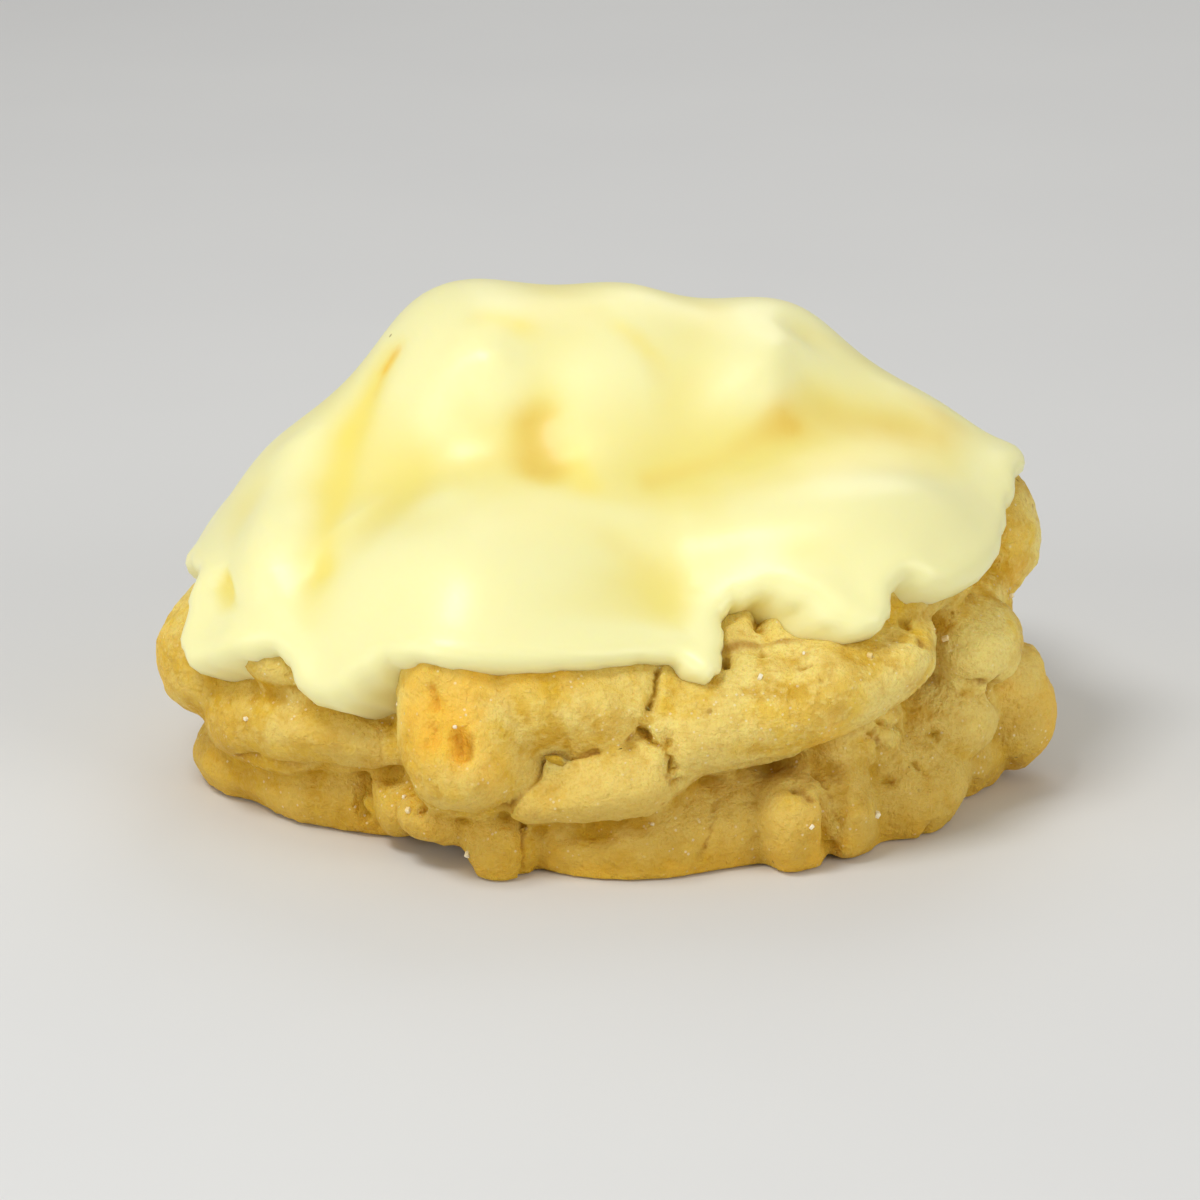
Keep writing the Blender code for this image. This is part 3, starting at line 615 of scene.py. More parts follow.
def azimuths_of(points: np.ndarray) -> np.ndarray:
    """The azimuth of each point, in degrees."""
    return np.degrees(np.arctan2(points[:, 0], -points[:, 1]))


class NodeKind(Enum):
    """The kinds of shader node that the finishes use."""

    ATTRIBUTE = "ShaderNodeAttribute"
    BUMP = "ShaderNodeBump"
    CELLS = "ShaderNodeTexVoronoi"
    CLOUD = "ShaderNodeTexNoise"
    MATHS = "ShaderNodeMath"
    MIX = "ShaderNodeMix"
    PLACE = "ShaderNodeTexCoord"
    RAMP = "ShaderNodeMapRange"


class Level:
    """A value that varies over a surface, written in plain arithmetic."""

    def __init__(self, sheet: "FinishSheet", socket: bpy.types.NodeSocket) -> None:
        """Wraps the output socket of a node of this sheet."""
        self.sheet = sheet
        self.socket = socket

    def _with(self, operation: str, other: "Level | float", swapped: bool = False) -> "Level":
        """Adds a Math node.

        Args:
            operation: The Math node's operation.
            other: The other input, a level or a number.
            swapped: Whether the other input comes first.

        Returns:
            The node's output.
        """
        pair = (other, self) if swapped else (self, other)
        outputs = self.sheet.node(NodeKind.MATHS, {"operation": operation}, dict(enumerate(pair)))
        return Level(self.sheet, outputs["Value"])

    def __add__(self, other: "Level | float") -> "Level":
        """This plus the other."""
        return self._with("ADD", other)

    def __radd__(self, other: float) -> "Level":
        """The other plus this."""
        return self._with("ADD", other, swapped=True)

    def __sub__(self, other: "Level | float") -> "Level":
        """This less the other."""
        return self._with("SUBTRACT", other)

    def __rsub__(self, other: float) -> "Level":
        """The other less this."""
        return self._with("SUBTRACT", other, swapped=True)

    def __mul__(self, other: "Level | float") -> "Level":
        """This times the other."""
        return self._with("MULTIPLY", other)

    def __rmul__(self, other: float) -> "Level":
        """The other times this."""
        return self._with("MULTIPLY", other, swapped=True)

    def between(self, low: float, high: float) -> "Level":
        """Fades from 0 at low to 1 at high, with soft ends.

        Args:
            low: Where the result is 0.
            high: Where the result is 1.

        Returns:
            The faded level.
        """
        settings = {"interpolation_type": "SMOOTHSTEP", "clamp": True}
        inputs = {"Value": self, "From Min": low, "From Max": high}
        return Level(self.sheet, self.sheet.node(NodeKind.RAMP, settings, inputs)["Result"])

    def clamped(self) -> "Level":
        """The same value, kept from 0 to 1."""
        return self._with("MAXIMUM", 0)._with("MINIMUM", 1)


class FinishSheet:
    """The node tree of one finish, with its shader at the end."""

    def __init__(self, name: str) -> None:
        """Starts a material of this name with an empty Principled shader."""
        self.material = bpy.data.materials.new(name)
        self.material.use_nodes = True
        self.tree = self.material.node_tree
        self.shader = self.tree.nodes["Principled BSDF"]
        self.place = self.node(NodeKind.PLACE)["Object"]

    def _feed(self, socket: bpy.types.NodeSocket, value: Any) -> None:
        """Links a level or a socket to an input, or writes a plain value on it."""
        source = value.socket if isinstance(value, Level) else value
        if isinstance(source, bpy.types.NodeSocket):
            self.tree.links.new(source, socket)
        elif isinstance(source, tuple) and socket.type == "RGBA":
            socket.default_value = (*source, 1.0)
        else:
            socket.default_value = source

    def node(
        self, kind: NodeKind, settings: dict[str, Any] | None = None, inputs: dict[Any, Any] | None = None
    ) -> bpy.types.NodeOutputs:
        """Adds one node.

        Args:
            kind: The kind of node.
            settings: Its properties, set before its sockets.
            inputs: Values, levels or sockets for its inputs, by name or number.

        Returns:
            The node's outputs.
        """
        node = self.tree.nodes.new(kind.value)
        for name, value in (settings or {}).items():
            setattr(node, name, value)
        for name, value in (inputs or {}).items():
            self._feed(node.inputs[name], value)
        return node.outputs

    def cloud(self, size: float, detail: float = 3, distortion: float = 0, roughness: float = 0.5) -> Level:
        """Soft noise, about 0 to 1.

        Args:
            size: The size of its blotches, in millimetres.
            detail: How many finer layers it has.
            distortion: How much it swirls.
            roughness: How strong the finer layers are.

        Returns:
            The noise.
        """
        scale = 1 / (size * MM)
        inputs = {"Vector": self.place, "Scale": scale, "Detail": detail}
        inputs |= {"Distortion": distortion, "Roughness": roughness}
        return Level(self, self.node(NodeKind.CLOUD, {}, inputs)["Fac"])

    def cells(self, size: float) -> Level:
        """Distance from the middle of scattered cells, in cell sizes.

        Args:
            size: The size of a cell, in millimetres.

        Returns:
            The distance.
        """
        inputs = {"Vector": self.place, "Scale": 1 / (size * MM)}
        return Level(self, self.node(NodeKind.CELLS, {}, inputs)["Distance"])

    def painted(self, name: str) -> Level:
        """The value that the mesh stores for each point under this name."""
        return Level(self, self.node(NodeKind.ATTRIBUTE, {"attribute_name": name})["Fac"])

    def blend(self, factor: "Level | float", first: Any, second: Any) -> bpy.types.NodeSocket:
        """Mixes two colours.

        Args:
            factor: 0 for the first colour to 1 for the second.
            first: A colour, or the socket of one.
            second: A colour, or the socket of one.

        Returns:
            The socket of the mixed colour.
        """
        settings = {"data_type": "RGBA", "clamp_factor": True}
        return self.node(NodeKind.MIX, settings, {"Factor": factor, 6: first, 7: second})[2]

    def layered(self, base: Any, layers: Iterable[tuple["Level | float", Colour]]) -> Any:
        """Lays colours over a base, one after another.

        Args:
            base: The colour underneath.
            layers: For each colour, how much of it shows and the colour.

        Returns:
            The socket of the finished colour.
        """
        for share, colour in layers:
            base = self.blend(share, base, colour)
        return base

    def bump(self, height: Level, depth: float, strength: float = 1.0) -> bpy.types.NodeSocket:
        """Turns a height into a shading normal.

        Args:
            height: The height, about 0 to 1.
            depth: How far 1 stands above 0, in millimetres.
            strength: How much of it shows.

        Returns:
            The socket of the normal.
        """
        inputs = {"Height": height, "Distance": depth * MM, "Strength": strength}
        return self.node(NodeKind.BUMP, {}, inputs)["Normal"]

    def set(self, **values: Any) -> None:
        """Sets or links the shader's sockets, with underscores for the spaces in their names."""
        for name, value in values.items():
            self._feed(self.shader.inputs[name.replace("_", " ")], value)


@dataclass(frozen=True)
class BakedDough:
    """The golden, fine-grained finish of the baked dough, with painted shade in creases, cracks, pits, low
    down and under the icing's edge, and a painted highlight on crests.
    """

    pale: Colour = tint(251, 230, 136)
    golden: Colour = tint(238, 197, 54)
    deep: Colour = tint(208, 158, 8)
    toasted: Colour = tint(248, 193, 54)
    brown: Colour = tint(222, 156, 26)
    # The crevice colour is painted shade in cracks, creases and pits.
    crevice: Colour = tint(168, 112, 8)
    speck: Colour = tint(130, 92, 34)
    crystal: Colour = tint(254, 246, 214)
    # The deep gold of the painted shade, laid in creases, low down and under the icing's edge.
    baked: Colour = tint(198, 150, 6)
    grain: float = 0.33

    def material(self) -> bpy.types.Material:
        """Builds the finish.

        Returns:
            The material.
        """
        sheet = FinishSheet("baked_dough")
        broad = sheet.cloud(11, detail=1)
        patch = sheet.cloud(3.6, detail=2, distortion=0.6)
        moist = sheet.cloud(2.1, detail=2)
        speckle = sheet.cloud(0.8, detail=2, roughness=0.6)
        grain = sheet.cloud(self.grain, detail=2, roughness=0.7)
        crumbs = sheet.cells(self.grain * 2.2)
        toast = (sheet.painted("toast") + (patch - 0.5) * 0.7).between(0.15, 0.95)
        # Painted shade: the crease mask darkens creases and hollows towards the deep gold.
        crease = sheet.painted("crease").between(0.08, 0.8)
        # Painted shade along cracks and creases.
        crack = sheet.painted("crack").between(0.35, 1.0)
        # Painted highlight: the crest mask makes raised ridges paler.
        crest = sheet.painted("crest").between(0.05, 0.6)
        dry = (broad * 0.8 + patch * 0.9).between(0.6, 0.92)
        wet = (moist * 0.7 + (1 - broad) * 0.5).between(0.55, 0.8)
        # Painted shade: a band just under the icing's edge, and the low parts of the dough.
        painted_shade = sheet.painted("painted_shade") + sheet.painted("low") * (0.5 + patch)
        # Painted shade in small pits.
        pores = sheet.cells(2.3).between(0.14, 0.07) * sheet.cloud(6, 2).between(0.5, 0.62)
        flecks = sheet.cells(3.1).between(0.06, 0.035) * sheet.cloud(5, 1).between(0.5, 0.6)
        sparkle = sheet.cells(0.7).between(0.2, 0.12) * sheet.cloud(3.4, 2).between(0.45, 0.62)
        layers = (
            (dry, self.pale),
            (wet * 0.85, self.deep),
            (speckle.between(0.48, 0.66) * 0.5, self.pale),
            ((1 - grain).between(0.45, 0.65) * 0.3, self.deep),
            # Painted highlight on crests.
            (crest * 0.25, self.pale),
            # Painted shade under the icing's edge and low down.
            (painted_shade.clamped() * 0.85, self.baked),
            # Painted shade in creases and hollows.
            (crease * 0.85, self.baked),
            (toast * 0.85, self.toasted),
            ((toast * moist).between(0.42, 0.75) * 0.5, self.brown),
            # Painted shade in cracks, creases and pits.
            (crack * 0.7, self.crevice),
            (pores * 0.45, self.crevice),
            (flecks * 0.6, self.speck),
            (sparkle * 0.4, self.crystal),
        )
        relief = grain * 0.8 + (1 - crumbs) * 0.5 + speckle * 0.7
        sheet.set(
            Base_Color=sheet.layered(self.golden, layers),
            Roughness=0.68 - sparkle * 0.35 - wet * 0.16 - toast * 0.1,
            Normal=sheet.bump(relief, 0.3, 1.0),
            Subsurface_Weight=0.32,
            Subsurface_Radius=(1.0, 0.62, 0.16),
            Subsurface_Scale=2.2 * MM,
            Specular_IOR_Level=0.34,
        )
        return sheet.material


@dataclass(frozen=True)
class PouredIcing:
    """The pale lemon finish of the set icing, darker yellow where it is thin over the dough and as painted
    shade in its hollows, and paler as a painted highlight where it stands proud.
    """

    # The pale tint is the painted highlight on raised parts of the icing.
    pale: Colour = tint(250, 243, 178)
    lemon: Colour = tint(242, 227, 126)
    # The hollow and ochre tints darken the thin marks: thin icing over the dough, and painted shade in the
    # hollows.
    hollow: Colour = tint(235, 203, 92)
    ochre: Colour = tint(230, 189, 66)
    streak: Colour = tint(255, 232, 112)
    zest: Colour = tint(252, 196, 10)
    speck: Colour = tint(150, 128, 60)

    def material(self) -> bpy.types.Material:
        """Builds the finish.

        Returns:
            The material.
        """
        sheet = FinishSheet("poured_icing")
        broad = sheet.cloud(16, detail=2, distortion=0.6)
        flow = sheet.cloud(5, detail=3, distortion=1.2)
        # Thin marks: thin icing over the dough, and painted shade in the icing's hollows.
        thin = (sheet.painted("thin") + (flow - 0.5) * 0.25).between(0.1, 1.0)
        streak = (sheet.painted("streak") * (0.6 + flow * 0.8)).clamped()
        zest = sheet.painted("zest").clamped()
        # Painted highlight: raised parts of the icing are paler, mixed with broad random tone.
        proud = (broad * 0.4 + sheet.painted("proud") * 0.8).between(0.35, 0.85)
        flecks = sheet.cells(7.5).between(0.035, 0.02)
        layers = (
            # Painted highlight where the icing stands proud.
            (proud, self.pale),
            # Darker where the icing is thin, and painted shade in its hollows.
            (thin * 0.8, self.hollow),
            ((thin * flow).between(0.35, 0.8) * 0.5, self.ochre),
            (streak * 0.75, self.streak),
            (zest, self.zest),
            (flecks * 0.7, self.speck),
        )
        ripple = sheet.cloud(2.2, detail=2) * 0.6 + sheet.cloud(0.5, detail=2) * 0.15
        sheet.set(
            Base_Color=sheet.layered(self.lemon, layers),
            Roughness=0.33 + flow * 0.12,
            Normal=sheet.bump(ripple, 0.05, 0.6),
            Subsurface_Weight=0.38,
            Subsurface_Radius=(1.0, 0.85, 0.35),
            Subsurface_Scale=2.8 * MM,
            Specular_IOR_Level=0.4,
            Coat_Weight=0.15,
            Coat_Roughness=0.26,
        )
        return sheet.material


@dataclass(frozen=True)
class SugarCrystal:
    """Clear to white grains of granulated sugar."""

    clear: Colour = tint(250, 238, 205)
    amber: Colour = tint(240, 210, 140)

    def material(self) -> bpy.types.Material:
        """Builds the finish.

        Returns:
            The material.
        """
        sheet = FinishSheet("sugar_crystal")
        cloud = sheet.cloud(1.3, detail=2)
        sheet.set(
            Base_Color=sheet.blend(cloud.between(0.4, 0.7), self.clear, self.amber),
            Roughness=0.12 + cloud * 0.25,
            Normal=sheet.bump(sheet.cloud(0.2, detail=2), 0.02),
            Subsurface_Weight=0.3,
            Subsurface_Radius=(1.0, 0.9, 0.7),
            Subsurface_Scale=0.5 * MM,
        )
        return sheet.material


@dataclass(frozen=True)
class PaleTable:
    """The plain pale floor, with the faintest mottling."""

    colour: Colour = tint(226, 226, 224)
    shade: Colour = tint(220, 220, 219)

    def material(self) -> bpy.types.Material:
        """Builds the finish.

        Returns:
            The material.
        """
        sheet = FinishSheet("pale_table")
        sheet.set(Base_Color=sheet.blend(sheet.cloud(60), self.colour, self.shade), Roughness=0.7)
        return sheet.material


@dataclass
class DoughBody:
    """The baked dough: torn lumps and folds fused into one body on a flat base.

    Sizes are in millimetres. A pair is a wavelength and a height.
    """

    voxel: float = 0.42
    ball_level: int = 4
    slump: tuple[float, float] = (9.0, 1.0)
    small_slump: tuple[float, float] = (4.5, 0.35)
    tears: tuple[float, float] = (5.0, 0.4)
    crust: tuple[float, float] = (2.1, 0.13)
    crumb: tuple[float, float] = (0.9, 0.1)
    crooked: tuple[float, float] = (2.6, 0.55)
    toasted: tuple[Stroke, ...] = strokes(
        ("beak top", ((-13.5, -30, 15.5), (-13.8, -31.5, 11.5)), 3.2, 1.0),
        ("beak pit", ((-11.5, -33.0, 12.5), (-9.5, -33.5, 10.0)), 2.6, 0.75),
        ("under icing", ((-9, -32, 17.5), (-4, -31.5, 17.6)), 2.2, 0.7),
        ("nub", ((36.5, -9.5, 8.0), (37.0, -9.0, 4.0)), 3.0, 0.7),
        ("nub root", ((32.5, -13.0, 9.0),), 2.2, 0.5),
        ("knob", ((18.0, -32.0, 5.5), (18.3, -32.0, 1.5)), 2.0, 0.7),
        ("rib root", ((17.0, -29.5, 9.5), (21.5, -28.0, 8.5)), 2.6, 0.6),
        ("band middle", ((14.0, -31.0, 13.0), (17.5, -29.5, 13.0)), 2.6, 0.4),
        ("ear end", ((-37.5, -10.0, 13.0), (-37.0, -11.0, 9.0)), 2.6, 0.5),
        ("right wall", ((34.5, -7.0, 21.0), (34.5, -7.5, 17.0)), 2.6, 0.5),
        ("rim left", ((-24.0, -26.0, 5.6), (-20.0, -27.5, 5.2)), 2.0, 0.6),
    )
    crumb_middle: float = 0.6
    # How widely creases and crests are measured and how strongly they show, for the painted shade in
    # creases and the painted highlight on crests.
    near_rounds: int = 6
    wide_rounds: int = 40
    near_gain: float = 1.2
    wide_gain: float = 0.5
    crest_gain: float = 1.2
    rim_height: float = 2.2
    rim_toast: float = 0.55
    # Painted shade: the dough darkens towards the bottom, below this height.
    low_shade_height: float = 15.0
    # Painted shade in a band under the icing's edge: how fast it fades below the edge and how strong it is.
    lip_shade_depth: float = 2.4
    lip_shade_share: float = 0.6
    skin: Skin = field(init=False)

    def build(self) -> None:
        """Fuses, slumps and tears the lumps, cuts the base and measures the creases."""
        bm = bmesh.new()
        for part in MOUND + FRONT + BACK:
            for lump in part.lumps():
                place = lump.matrix()
                bmesh.ops.create_icosphere(bm, subdivisions=self.ball_level, radius=1, matrix=place)
        self.skin = Skin.of_mesh("baked_dough", bm)
        fuse = self.skin.obj.modifiers.new("fuse", "REMESH")
        fuse.mode = "VOXEL"
        fuse.voxel_size = self.voxel * MM
        soften = self.skin.obj.modifiers.new("soften creases", "SMOOTH")
        soften.factor = 0.5
        soften.iterations = 2
        self.skin.apply_modifiers()
        self.skin.keep_largest_body()
        self._roughen()
        self.skin.cut_flat_base()
        self.skin.keep_largest_body()
        self._paint_shade_and_toast()

    def _roughen(self) -> None:
        """Slumps the lumps out of their egg shapes, tears them and adds the crumb."""
        points = self.skin.points()
        self.skin.move(points + wander(points, *self.slump, 1) + wander(points, *self.small_slump, 2))
        points = self.skin.points()
        tear_size, tear_depth = self.tears
        heights = crag(points, tear_size, 3) * tear_depth
        heights += total_of(DOUGH_STROKES + MOUND_HOLLOWS, points)
        heights += total_of(CREASES, points + wander(points, *self.crooked, 7))
        self.skin.raise_by(heights)
        points = self.skin.points()
        crust_size, crust_depth = self.crust
        crumb_size, crumb_depth = self.crumb
        heights = crag(points, crust_size, 4, 2) * crust_depth
        heights += (pebbles(points, crumb_size, 5) - self.crumb_middle) * crumb_depth
        self.skin.raise_by(heights)

    def _paint_shade_and_toast(self) -> None:
        """Stores where the dough is creased, proud, low, just under the icing, cracked or toasted: painted
        shade for the creases, cracks, low parts and the band under the icing, a painted highlight for the
        crests, and toast.
        """
        points = self.skin.points()
        near = self.skin.hollowness(self.near_rounds)
        wide = self.skin.hollowness(self.wide_rounds)
        # Painted shade in creases and hollows.
        self.skin.paint("crease", np.clip(near * self.near_gain + wide * self.wide_gain, 0, 1))
        # Painted highlight on crests.
        self.skin.paint("crest", np.clip(-wide * self.crest_gain, 0, 1))
        # Painted shade, darker towards the bottom.
        self.skin.paint("low", np.clip(1 - points[:, 2] / self.low_shade_height, 0, 1))
        # Painted shade in a band just under the icing's edge.
        below = np.maximum(edge_height(azimuths_of(points)) - points[:, 2], 0)
        self.skin.paint("painted_shade", self.lip_shade_share * np.exp(-below / self.lip_shade_depth))
        # Painted shade along the cracks and creases.
        crooked = points + wander(points, *self.crooked, 7)
        marks = [stroke.weight(crooked) for stroke in CREASES]
        marks += [stroke.weight(points) for stroke in DOUGH_STROKES]
        self.skin.paint("crack", np.max(marks, axis=0))
        toast = total_of(self.toasted, points)
        toast += self.rim_toast * np.exp(-np.clip(points[:, 2], 0, None) / self.rim_height)
        self.skin.paint("toast", np.clip(toast, 0, 1))

    def dress(self) -> None:
        """Gives the dough its finish and its place in the frame."""
        self.skin.finish(BakedDough().material())
        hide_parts("dough")
        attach(self.skin.obj, BODY)


@dataclass
class IcingCap:
    """The poured icing: a skin draped over the dough that ends in rounded drips.

    Sizes are in millimetres.
    """

    thickness: float = 2.0
    bead: float = 0.35
    bead_width: float = 1.4
    ball_level: int = 7
    bridge: float = 5.0
    easing: int = 6
    mound_radius: float = 30.0
    heart: Point = (0.0, 0.0, 8.0)
    dive_slope: float = 2.5
    dive_depth: float = 6.0
    edge_step: float = 0.1
    # Painted highlight: how widely raised parts of the icing are measured and how strongly they are paled.
    proud_rounds: int = 30
    proud_gain: float = 0.7
    # Where the icing is darkened: thin over the dough, and painted shade in the dimple, terrace and other
    # hollows.
    thin_marks: tuple[Stroke, ...] = strokes(
        ("dimple", ((-5.8, -10.8, 31), (-5.0, -13.4, 28.8)), 2.6, 0.95),
        ("dimple side", ((-10, -13.5, 29.5), (-7, -14, 30)), 2.2, 0.3),
        ("terrace", ((3.5, -14.6, 28), (9.4, -12.4, 29.6), (14.4, -9.4, 31.4)), 1.5, 0.6),
        ("right hollow", ((15.5, -8.5, 31.5), (18.3, -7.5, 31.4), (26.8, -5.0, 29)), 3.4, 0.6),
        ("right edge", ((24, 0, 33), (29.5, -2, 29.5)), 1.8, 0.35),
        ("front fold", ((0, -21.5, 25), (4.5, -23.5, 22.5)), 2.0, 0.3),
        ("crown", ((2, -5, 37), (4.5, -8, 35)), 1.8, 0.3),
        ("far left", ((-25, -3, 27), (-27, -6, 24)), 2.2, 0.3),
        ("thin lobe", ((-32.0, -13, 13.5), (-29.0, -17.0, 14.0)), 2.2, 0.5),
        ("back hollow", ((-8, 18, 29), (2, 20, 29)), 3.0, 0.5),
        ("back right hollow", ((16, 14, 29), (21, 10, 28)), 2.6, 0.5),
        ("back streak", ((-18, 10, 28), (-20, 14, 23)), 2.0, 0.45),
    )
    streaks: tuple[Stroke, ...] = strokes(
        ("valley top", ((-18.8, -2.5, 34.5), (-20.8, -5.6, 29.6)), 1.9, 0.9),
        ("valley", ((-21.4, -6, 28.7), (-22.1, -9.5, 26.2), (-22.9, -18.8, 21.4)), 1.2, 0.7),
        ("crown patch", ((-9.6, -4, 38.2), (-7.4, -4.6, 38.2)), 1.7, 0.8),
        ("crown dash", ((1, -4, 37.6), (4.5, -7, 36.0)), 1.0, 0.5),
        ("dimple right", ((-2.8, -13.2, 29.8), (-1.8, -15.6, 27.6)), 1.4, 0.7),
        ("terrace line", ((3.6, -14.2, 28.8), (9, -12.2, 30)), 0.8, 0.6),
        ("back line", ((-3, 18, 30), (-5, 24, 22)), 1.4, 0.7),
        ("back right line", ((12, 14, 31), (15, 20, 24)), 1.2, 0.6),
    )
    zest_marks: tuple[Stroke, ...] = strokes(
        ("zest", ((-18.2, -2.6, 35.4), (-18.9, -3.0, 34.4)), 0.7, 1.5),
        ("zest tail", ((-19.0, -3.2, 34.0), (-19.8, -4.4, 32.4)), 0.45, 0.8),
        ("back zest", ((9.5, 15.0, 32.0), (10.4, 15.6, 31.2)), 0.5, 1.1),
    )
    skin: Skin = field(init=False)

    def build(self, dough: DoughBody) -> None:
        """Drapes the icing over the dough and trims what is hidden inside.

        Args:
            dough: The finished dough under it.
        """
        bm = bmesh.new()
        bmesh.ops.create_icosphere(bm, subdivisions=self.ball_level, radius=1)
        self.skin = Skin.of_mesh("poured_icing", bm)
        directions = self.skin.points() * MM
        heart = np.array(self.heart)
        reach = self._drape(directions, dough.skin.tree())
        surface = heart + directions * reach[:, None]
        self.skin.move(surface)
        inside = self._distance_inside_edge(surface)
        across = np.clip(inside / self.thickness, 0, 1)
        rise = self.thickness * np.sqrt(1 - (1 - across) ** 2)
        rise += self.bead * np.exp(-(((inside - self.thickness) / self.bead_width) ** 2)) * (inside > 0)
        rise += total_of(ICING_STROKES + ICING_RIPPLES, surface) * across
        dive = np.maximum(self.dive_slope * inside, -self.dive_depth)
        reach = reach + np.where(inside > 0, rise, dive)
        self.skin.move(heart + directions * reach[:, None])
        self._paint_flow()
        self._trim(inside)

    def _drape(self, directions: np.ndarray, dough: BVHTree) -> np.ndarray:
        """How far a skin laid over the dough stands from the heart in each direction.

        It touches the dough's high places and bridges its hollows.

        Args:
            directions: Unit rows.
            dough: The dough's search tree.

        Returns:
            One distance for each direction, in millimetres.
        """
        heart = Vector(self.heart) * MM
        far = 0.2
        outermost = []
        for direction in directions:
            way = Vector(direction)
            outermost.append(far - dough.ray_cast(heart + way * far, -way)[3])
        touch = np.array(outermost) / MM
        spacing = self.mound_radius * BALL_EDGE / 2 ** (self.ball_level - 1)
        rounds = round((self.bridge / spacing) ** 2)
        mean = self.skin.neighbour_mean()
        reach = touch
        for _ in range(rounds):
            reach = np.maximum(touch, mean(reach))
        for _ in range(rounds // self.easing):
            reach = mean(reach)
        return reach

    def _distance_inside_edge(self, surface: np.ndarray) -> np.ndarray:
        """Distance of each point from the icing's edge line.

        Args:
            surface: Rows of places on the draped skin, in millimetres.

        Returns:
            One distance for each point, above 0 on the icing's side.
        """
        tree = self.skin.tree()
        turns = np.arange(0.0, 360.0, self.edge_step)
        heights = edge_height(turns)
        line = KDTree(len(turns))
        far = 100.0
        for index, (turn, height) in enumerate(zip(np.radians(turns), heights)):
            out = Vector((math.sin(turn), -math.cos(turn), 0))
            hit = tree.ray_cast((out * far + Vector((0, 0, height))) * MM, -out)
            line.insert(hit[0] / MM, index)
        line.balance()
        away = np.array([line.find(place)[2] for place in surface])
        above = surface[:, 2] > edge_height(azimuths_of(surface))
        return np.where(above, away, -away)

    def _paint_flow(self) -> None:
        """Stores where the icing stands proud, for a painted highlight, where it is thin or lies in a
        hollow, for the darker yellow of thin icing and painted shade, where it is streaked, and where it
        holds a bit of zest.
        """
        points = self.skin.points()
        # Painted highlight where the icing stands proud.
        wide = self.skin.hollowness(self.proud_rounds)
        self.skin.paint("proud", np.clip(0.5 - wide * self.proud_gain, 0, 1))
        painted = {"thin": self.thin_marks, "streak": self.streaks, "zest": self.zest_marks}
        for name, marks in painted.items():
            self.skin.paint(name, np.clip(total_of(marks, points), 0, 1))

    def _trim(self, inside: np.ndarray) -> None:
        """Removes the faces that lie deep inside the dough.

        Args:
            inside: Distance of each point from the edge line.
        """
        with self.skin.editing() as bm:
            bm.verts.ensure_lookup_table()
            buried = [bm.verts[i] for i in np.flatnonzero(inside < -self.dive_depth / self.dive_slope)]
            bmesh.ops.delete(bm, geom=buried, context="VERTS")

    def dress(self) -> None:
        """Gives the icing its finish and its place in the frame."""
        self.skin.finish(PouredIcing().material())
        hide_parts("icing")
        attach(self.skin.obj, BODY)


@dataclass
class SugarGrains:
    """Loose grains of sugar stuck to the bare dough, as one mesh. Sizes are in millimetres."""

    count: int = 34
    smallest: float = 0.22
    largest: float = 0.52
    clearance: float = 1.2
    lowest: float = 0.8
    steepest: float = -0.3
    uneven: tuple[float, float] = (0.75, 1.15)
    proud: float = 0.2
    worn: float = 0.05
    seed: int = 11
    skin: Skin = field(init=False)

    def build(self, dough: DoughBody) -> None:
        """Sets the grains half into the dough, clear of the icing.

        Args:
            dough: The finished dough under them.
        """
        points, normals = dough.skin.points(), dough.skin.normals()
        bare = points[:, 2] < edge_height(azimuths_of(points)) - self.clearance
        bare &= points[:, 2] > self.lowest
        bare &= normals[:, 2] > self.steepest
        draw = np.random.default_rng(self.seed)
        chosen = draw.choice(np.flatnonzero(bare), self.count, replace=False)
        bm = bmesh.new()
        for index in chosen:
            size = draw.uniform(self.smallest, self.largest)
            turn = Euler(draw.uniform(0, math.tau, 3)).to_matrix().to_4x4()
            stretch = Matrix.Diagonal((*(size * draw.uniform(*self.uneven, 3)), 1.0))
            place = Matrix.Translation(points[index] + normals[index] * size * self.proud)
            bmesh.ops.create_cube(bm, size=1, matrix=Matrix.Scale(MM, 4) @ place @ turn @ stretch)
        worn = self.worn * MM
        bmesh.ops.bevel(bm, geom=bm.edges[:], offset=worn, segments=1, affect="EDGES", clamp_overlap=True)
        self.skin = Skin.of_mesh("sugar_grains", bm)

    def dress(self) -> None:
        """Gives the grains their finish and their place in the frame."""
        self.skin.finish(SugarCrystal().material())
        self.skin.obj.data.shade_flat()
        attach(self.skin.obj, BODY)


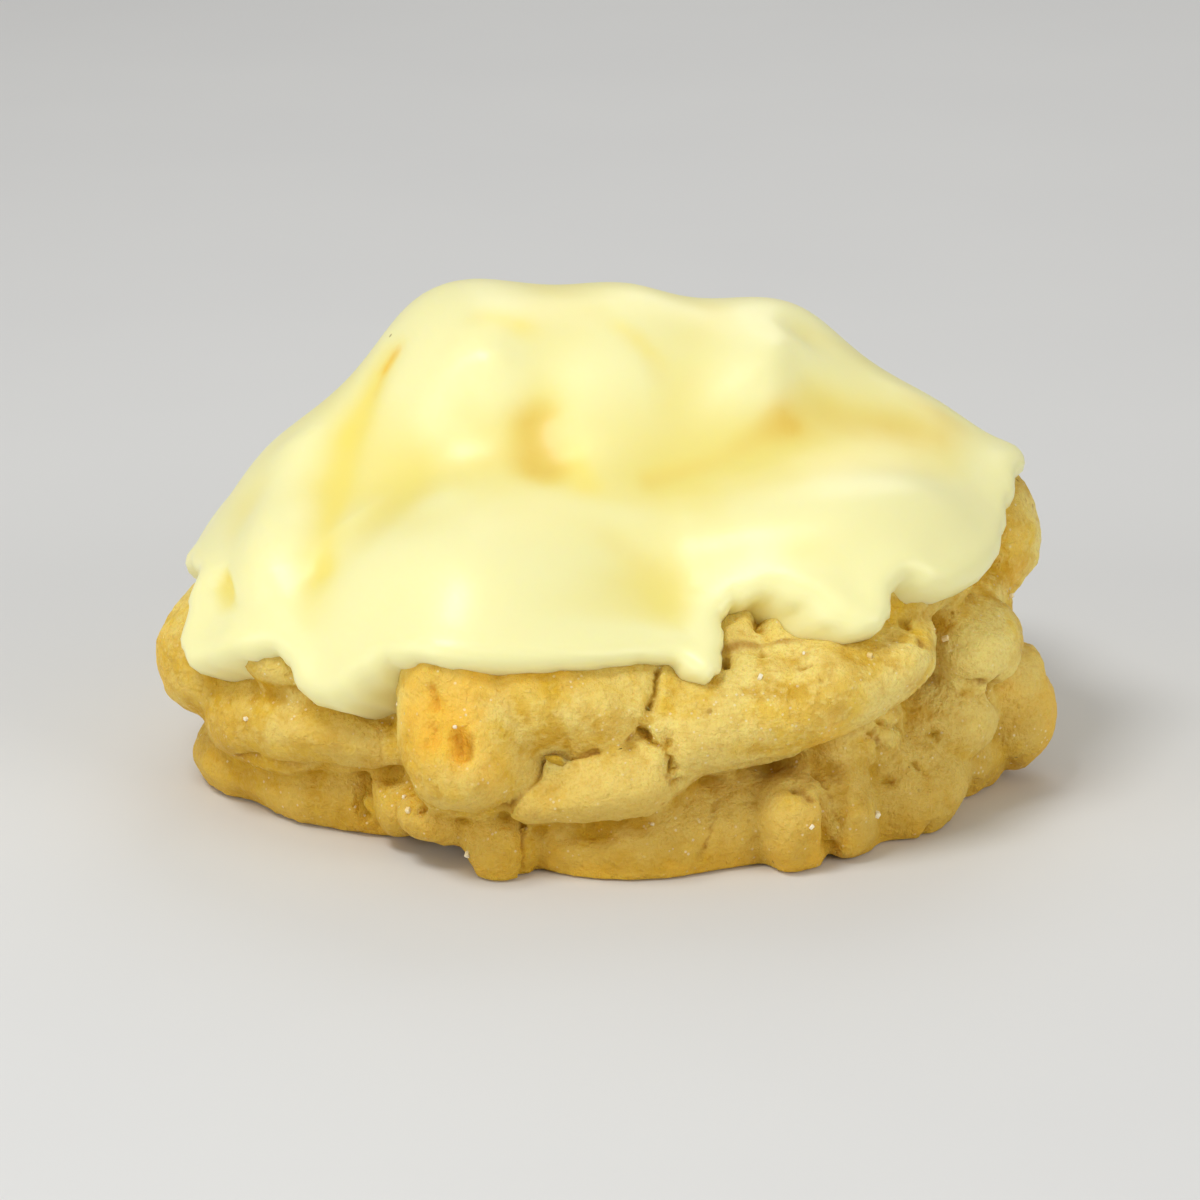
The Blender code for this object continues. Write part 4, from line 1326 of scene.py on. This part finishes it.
@dataclass
class Studio:
    """The floor, the soft lights and the camera at the photograph's angle.

    Distances are in metres.
    """

    elevation: float = 18.0
    distance: float = 0.42
    target: Point = (-0.0007, 0.0, 0.0128)
    pixels_across: float = 1200
    millimetres_per_pixel: float = 0.085
    sensor: float = 36.0
    floor_half: float = 1.5
    floor_drop: float = 0.0002
    room_light: float = 0.36
    room_tint: Colour = (1.0, 0.99, 0.97)
    lights: tuple[tuple[str, Point, float, float], ...] = (
        ("key", (-0.18, -0.17, 0.46), 0.18, 1.06),
        ("fill", (0.42, -0.38, 0.22), 0.36, 1.0),
        ("left", (-0.44, -0.30, 0.16), 0.36, 0.85),
        ("back", (0.08, 0.40, 0.36), 0.30, 0.40),
    )

    def build(self) -> None:
        """Makes the floor, the lights, the world and the camera."""
        self._floor()
        self._lights()
        self._camera()

    def _floor(self) -> None:
        """Lays the plain pale floor just under the cookie."""
        bm = bmesh.new()
        place = Matrix.Translation((0, 0, -self.floor_drop))
        bmesh.ops.create_grid(bm, x_segments=4, y_segments=4, size=self.floor_half, matrix=place)
        skin = Skin.of_mesh("floor", bm)
        skin.finish(PaleTable().material())

    def _lights(self) -> None:
        """Hangs the soft lights and sets the light of the room."""
        for name, place, size, power in self.lights:
            lamp = bpy.data.lights.new(name, "AREA")
            lamp.shape = "DISK"
            lamp.size = size
            lamp.energy = power
            obj = bpy.data.objects.new(name, lamp)
            obj.location = place
            away = Vector(place) - Vector(self.target)
            obj.rotation_euler = away.to_track_quat("Z", "Y").to_euler()
            bpy.context.scene.collection.objects.link(obj)
        world = bpy.data.worlds.new("room")
        world.use_nodes = True
        sky = world.node_tree.nodes["Background"]
        sky.inputs["Color"].default_value = (*self.room_tint, 1.0)
        sky.inputs["Strength"].default_value = self.room_light
        bpy.context.scene.world = world
        bpy.context.scene.view_settings.view_transform = "Standard"

    def _camera(self) -> None:
        """Sets the camera where the photograph was taken from."""
        tilt = math.radians(self.elevation)
        back = Vector((0, -math.cos(tilt), math.sin(tilt)))
        lens = bpy.data.cameras.new("camera")
        lens.sensor_width = self.sensor
        focal_pixels = self.distance / (self.millimetres_per_pixel * MM)
        lens.lens = focal_pixels / self.pixels_across * self.sensor
        lens.clip_start = 0.01
        camera = bpy.data.objects.new("camera", lens)
        camera.location = Vector(self.target) + back * self.distance
        camera.rotation_euler = back.to_track_quat("Z", "Y").to_euler()
        bpy.context.scene.collection.objects.link(camera)
        bpy.context.scene.camera = camera


def report(name: str, skin: Skin) -> None:
    """Logs a finished piece and its number of faces."""
    log.info("%s: %d faces", name, len(skin.obj.data.polygons))


def main() -> None:
    """Builds and dresses every piece, then the studio around them."""
    logging.basicConfig(level=logging.INFO, format="%(name)s %(message)s")
    dough = DoughBody()
    dough.build()
    dough.dress()
    report("dough", dough.skin)
    icing = IcingCap()
    icing.build(dough)
    icing.dress()
    report("icing", icing.skin)
    sugar = SugarGrains()
    sugar.build(dough)
    sugar.dress()
    report("sugar", sugar.skin)
    Studio().build()


if __name__ == "__main__":
    main()
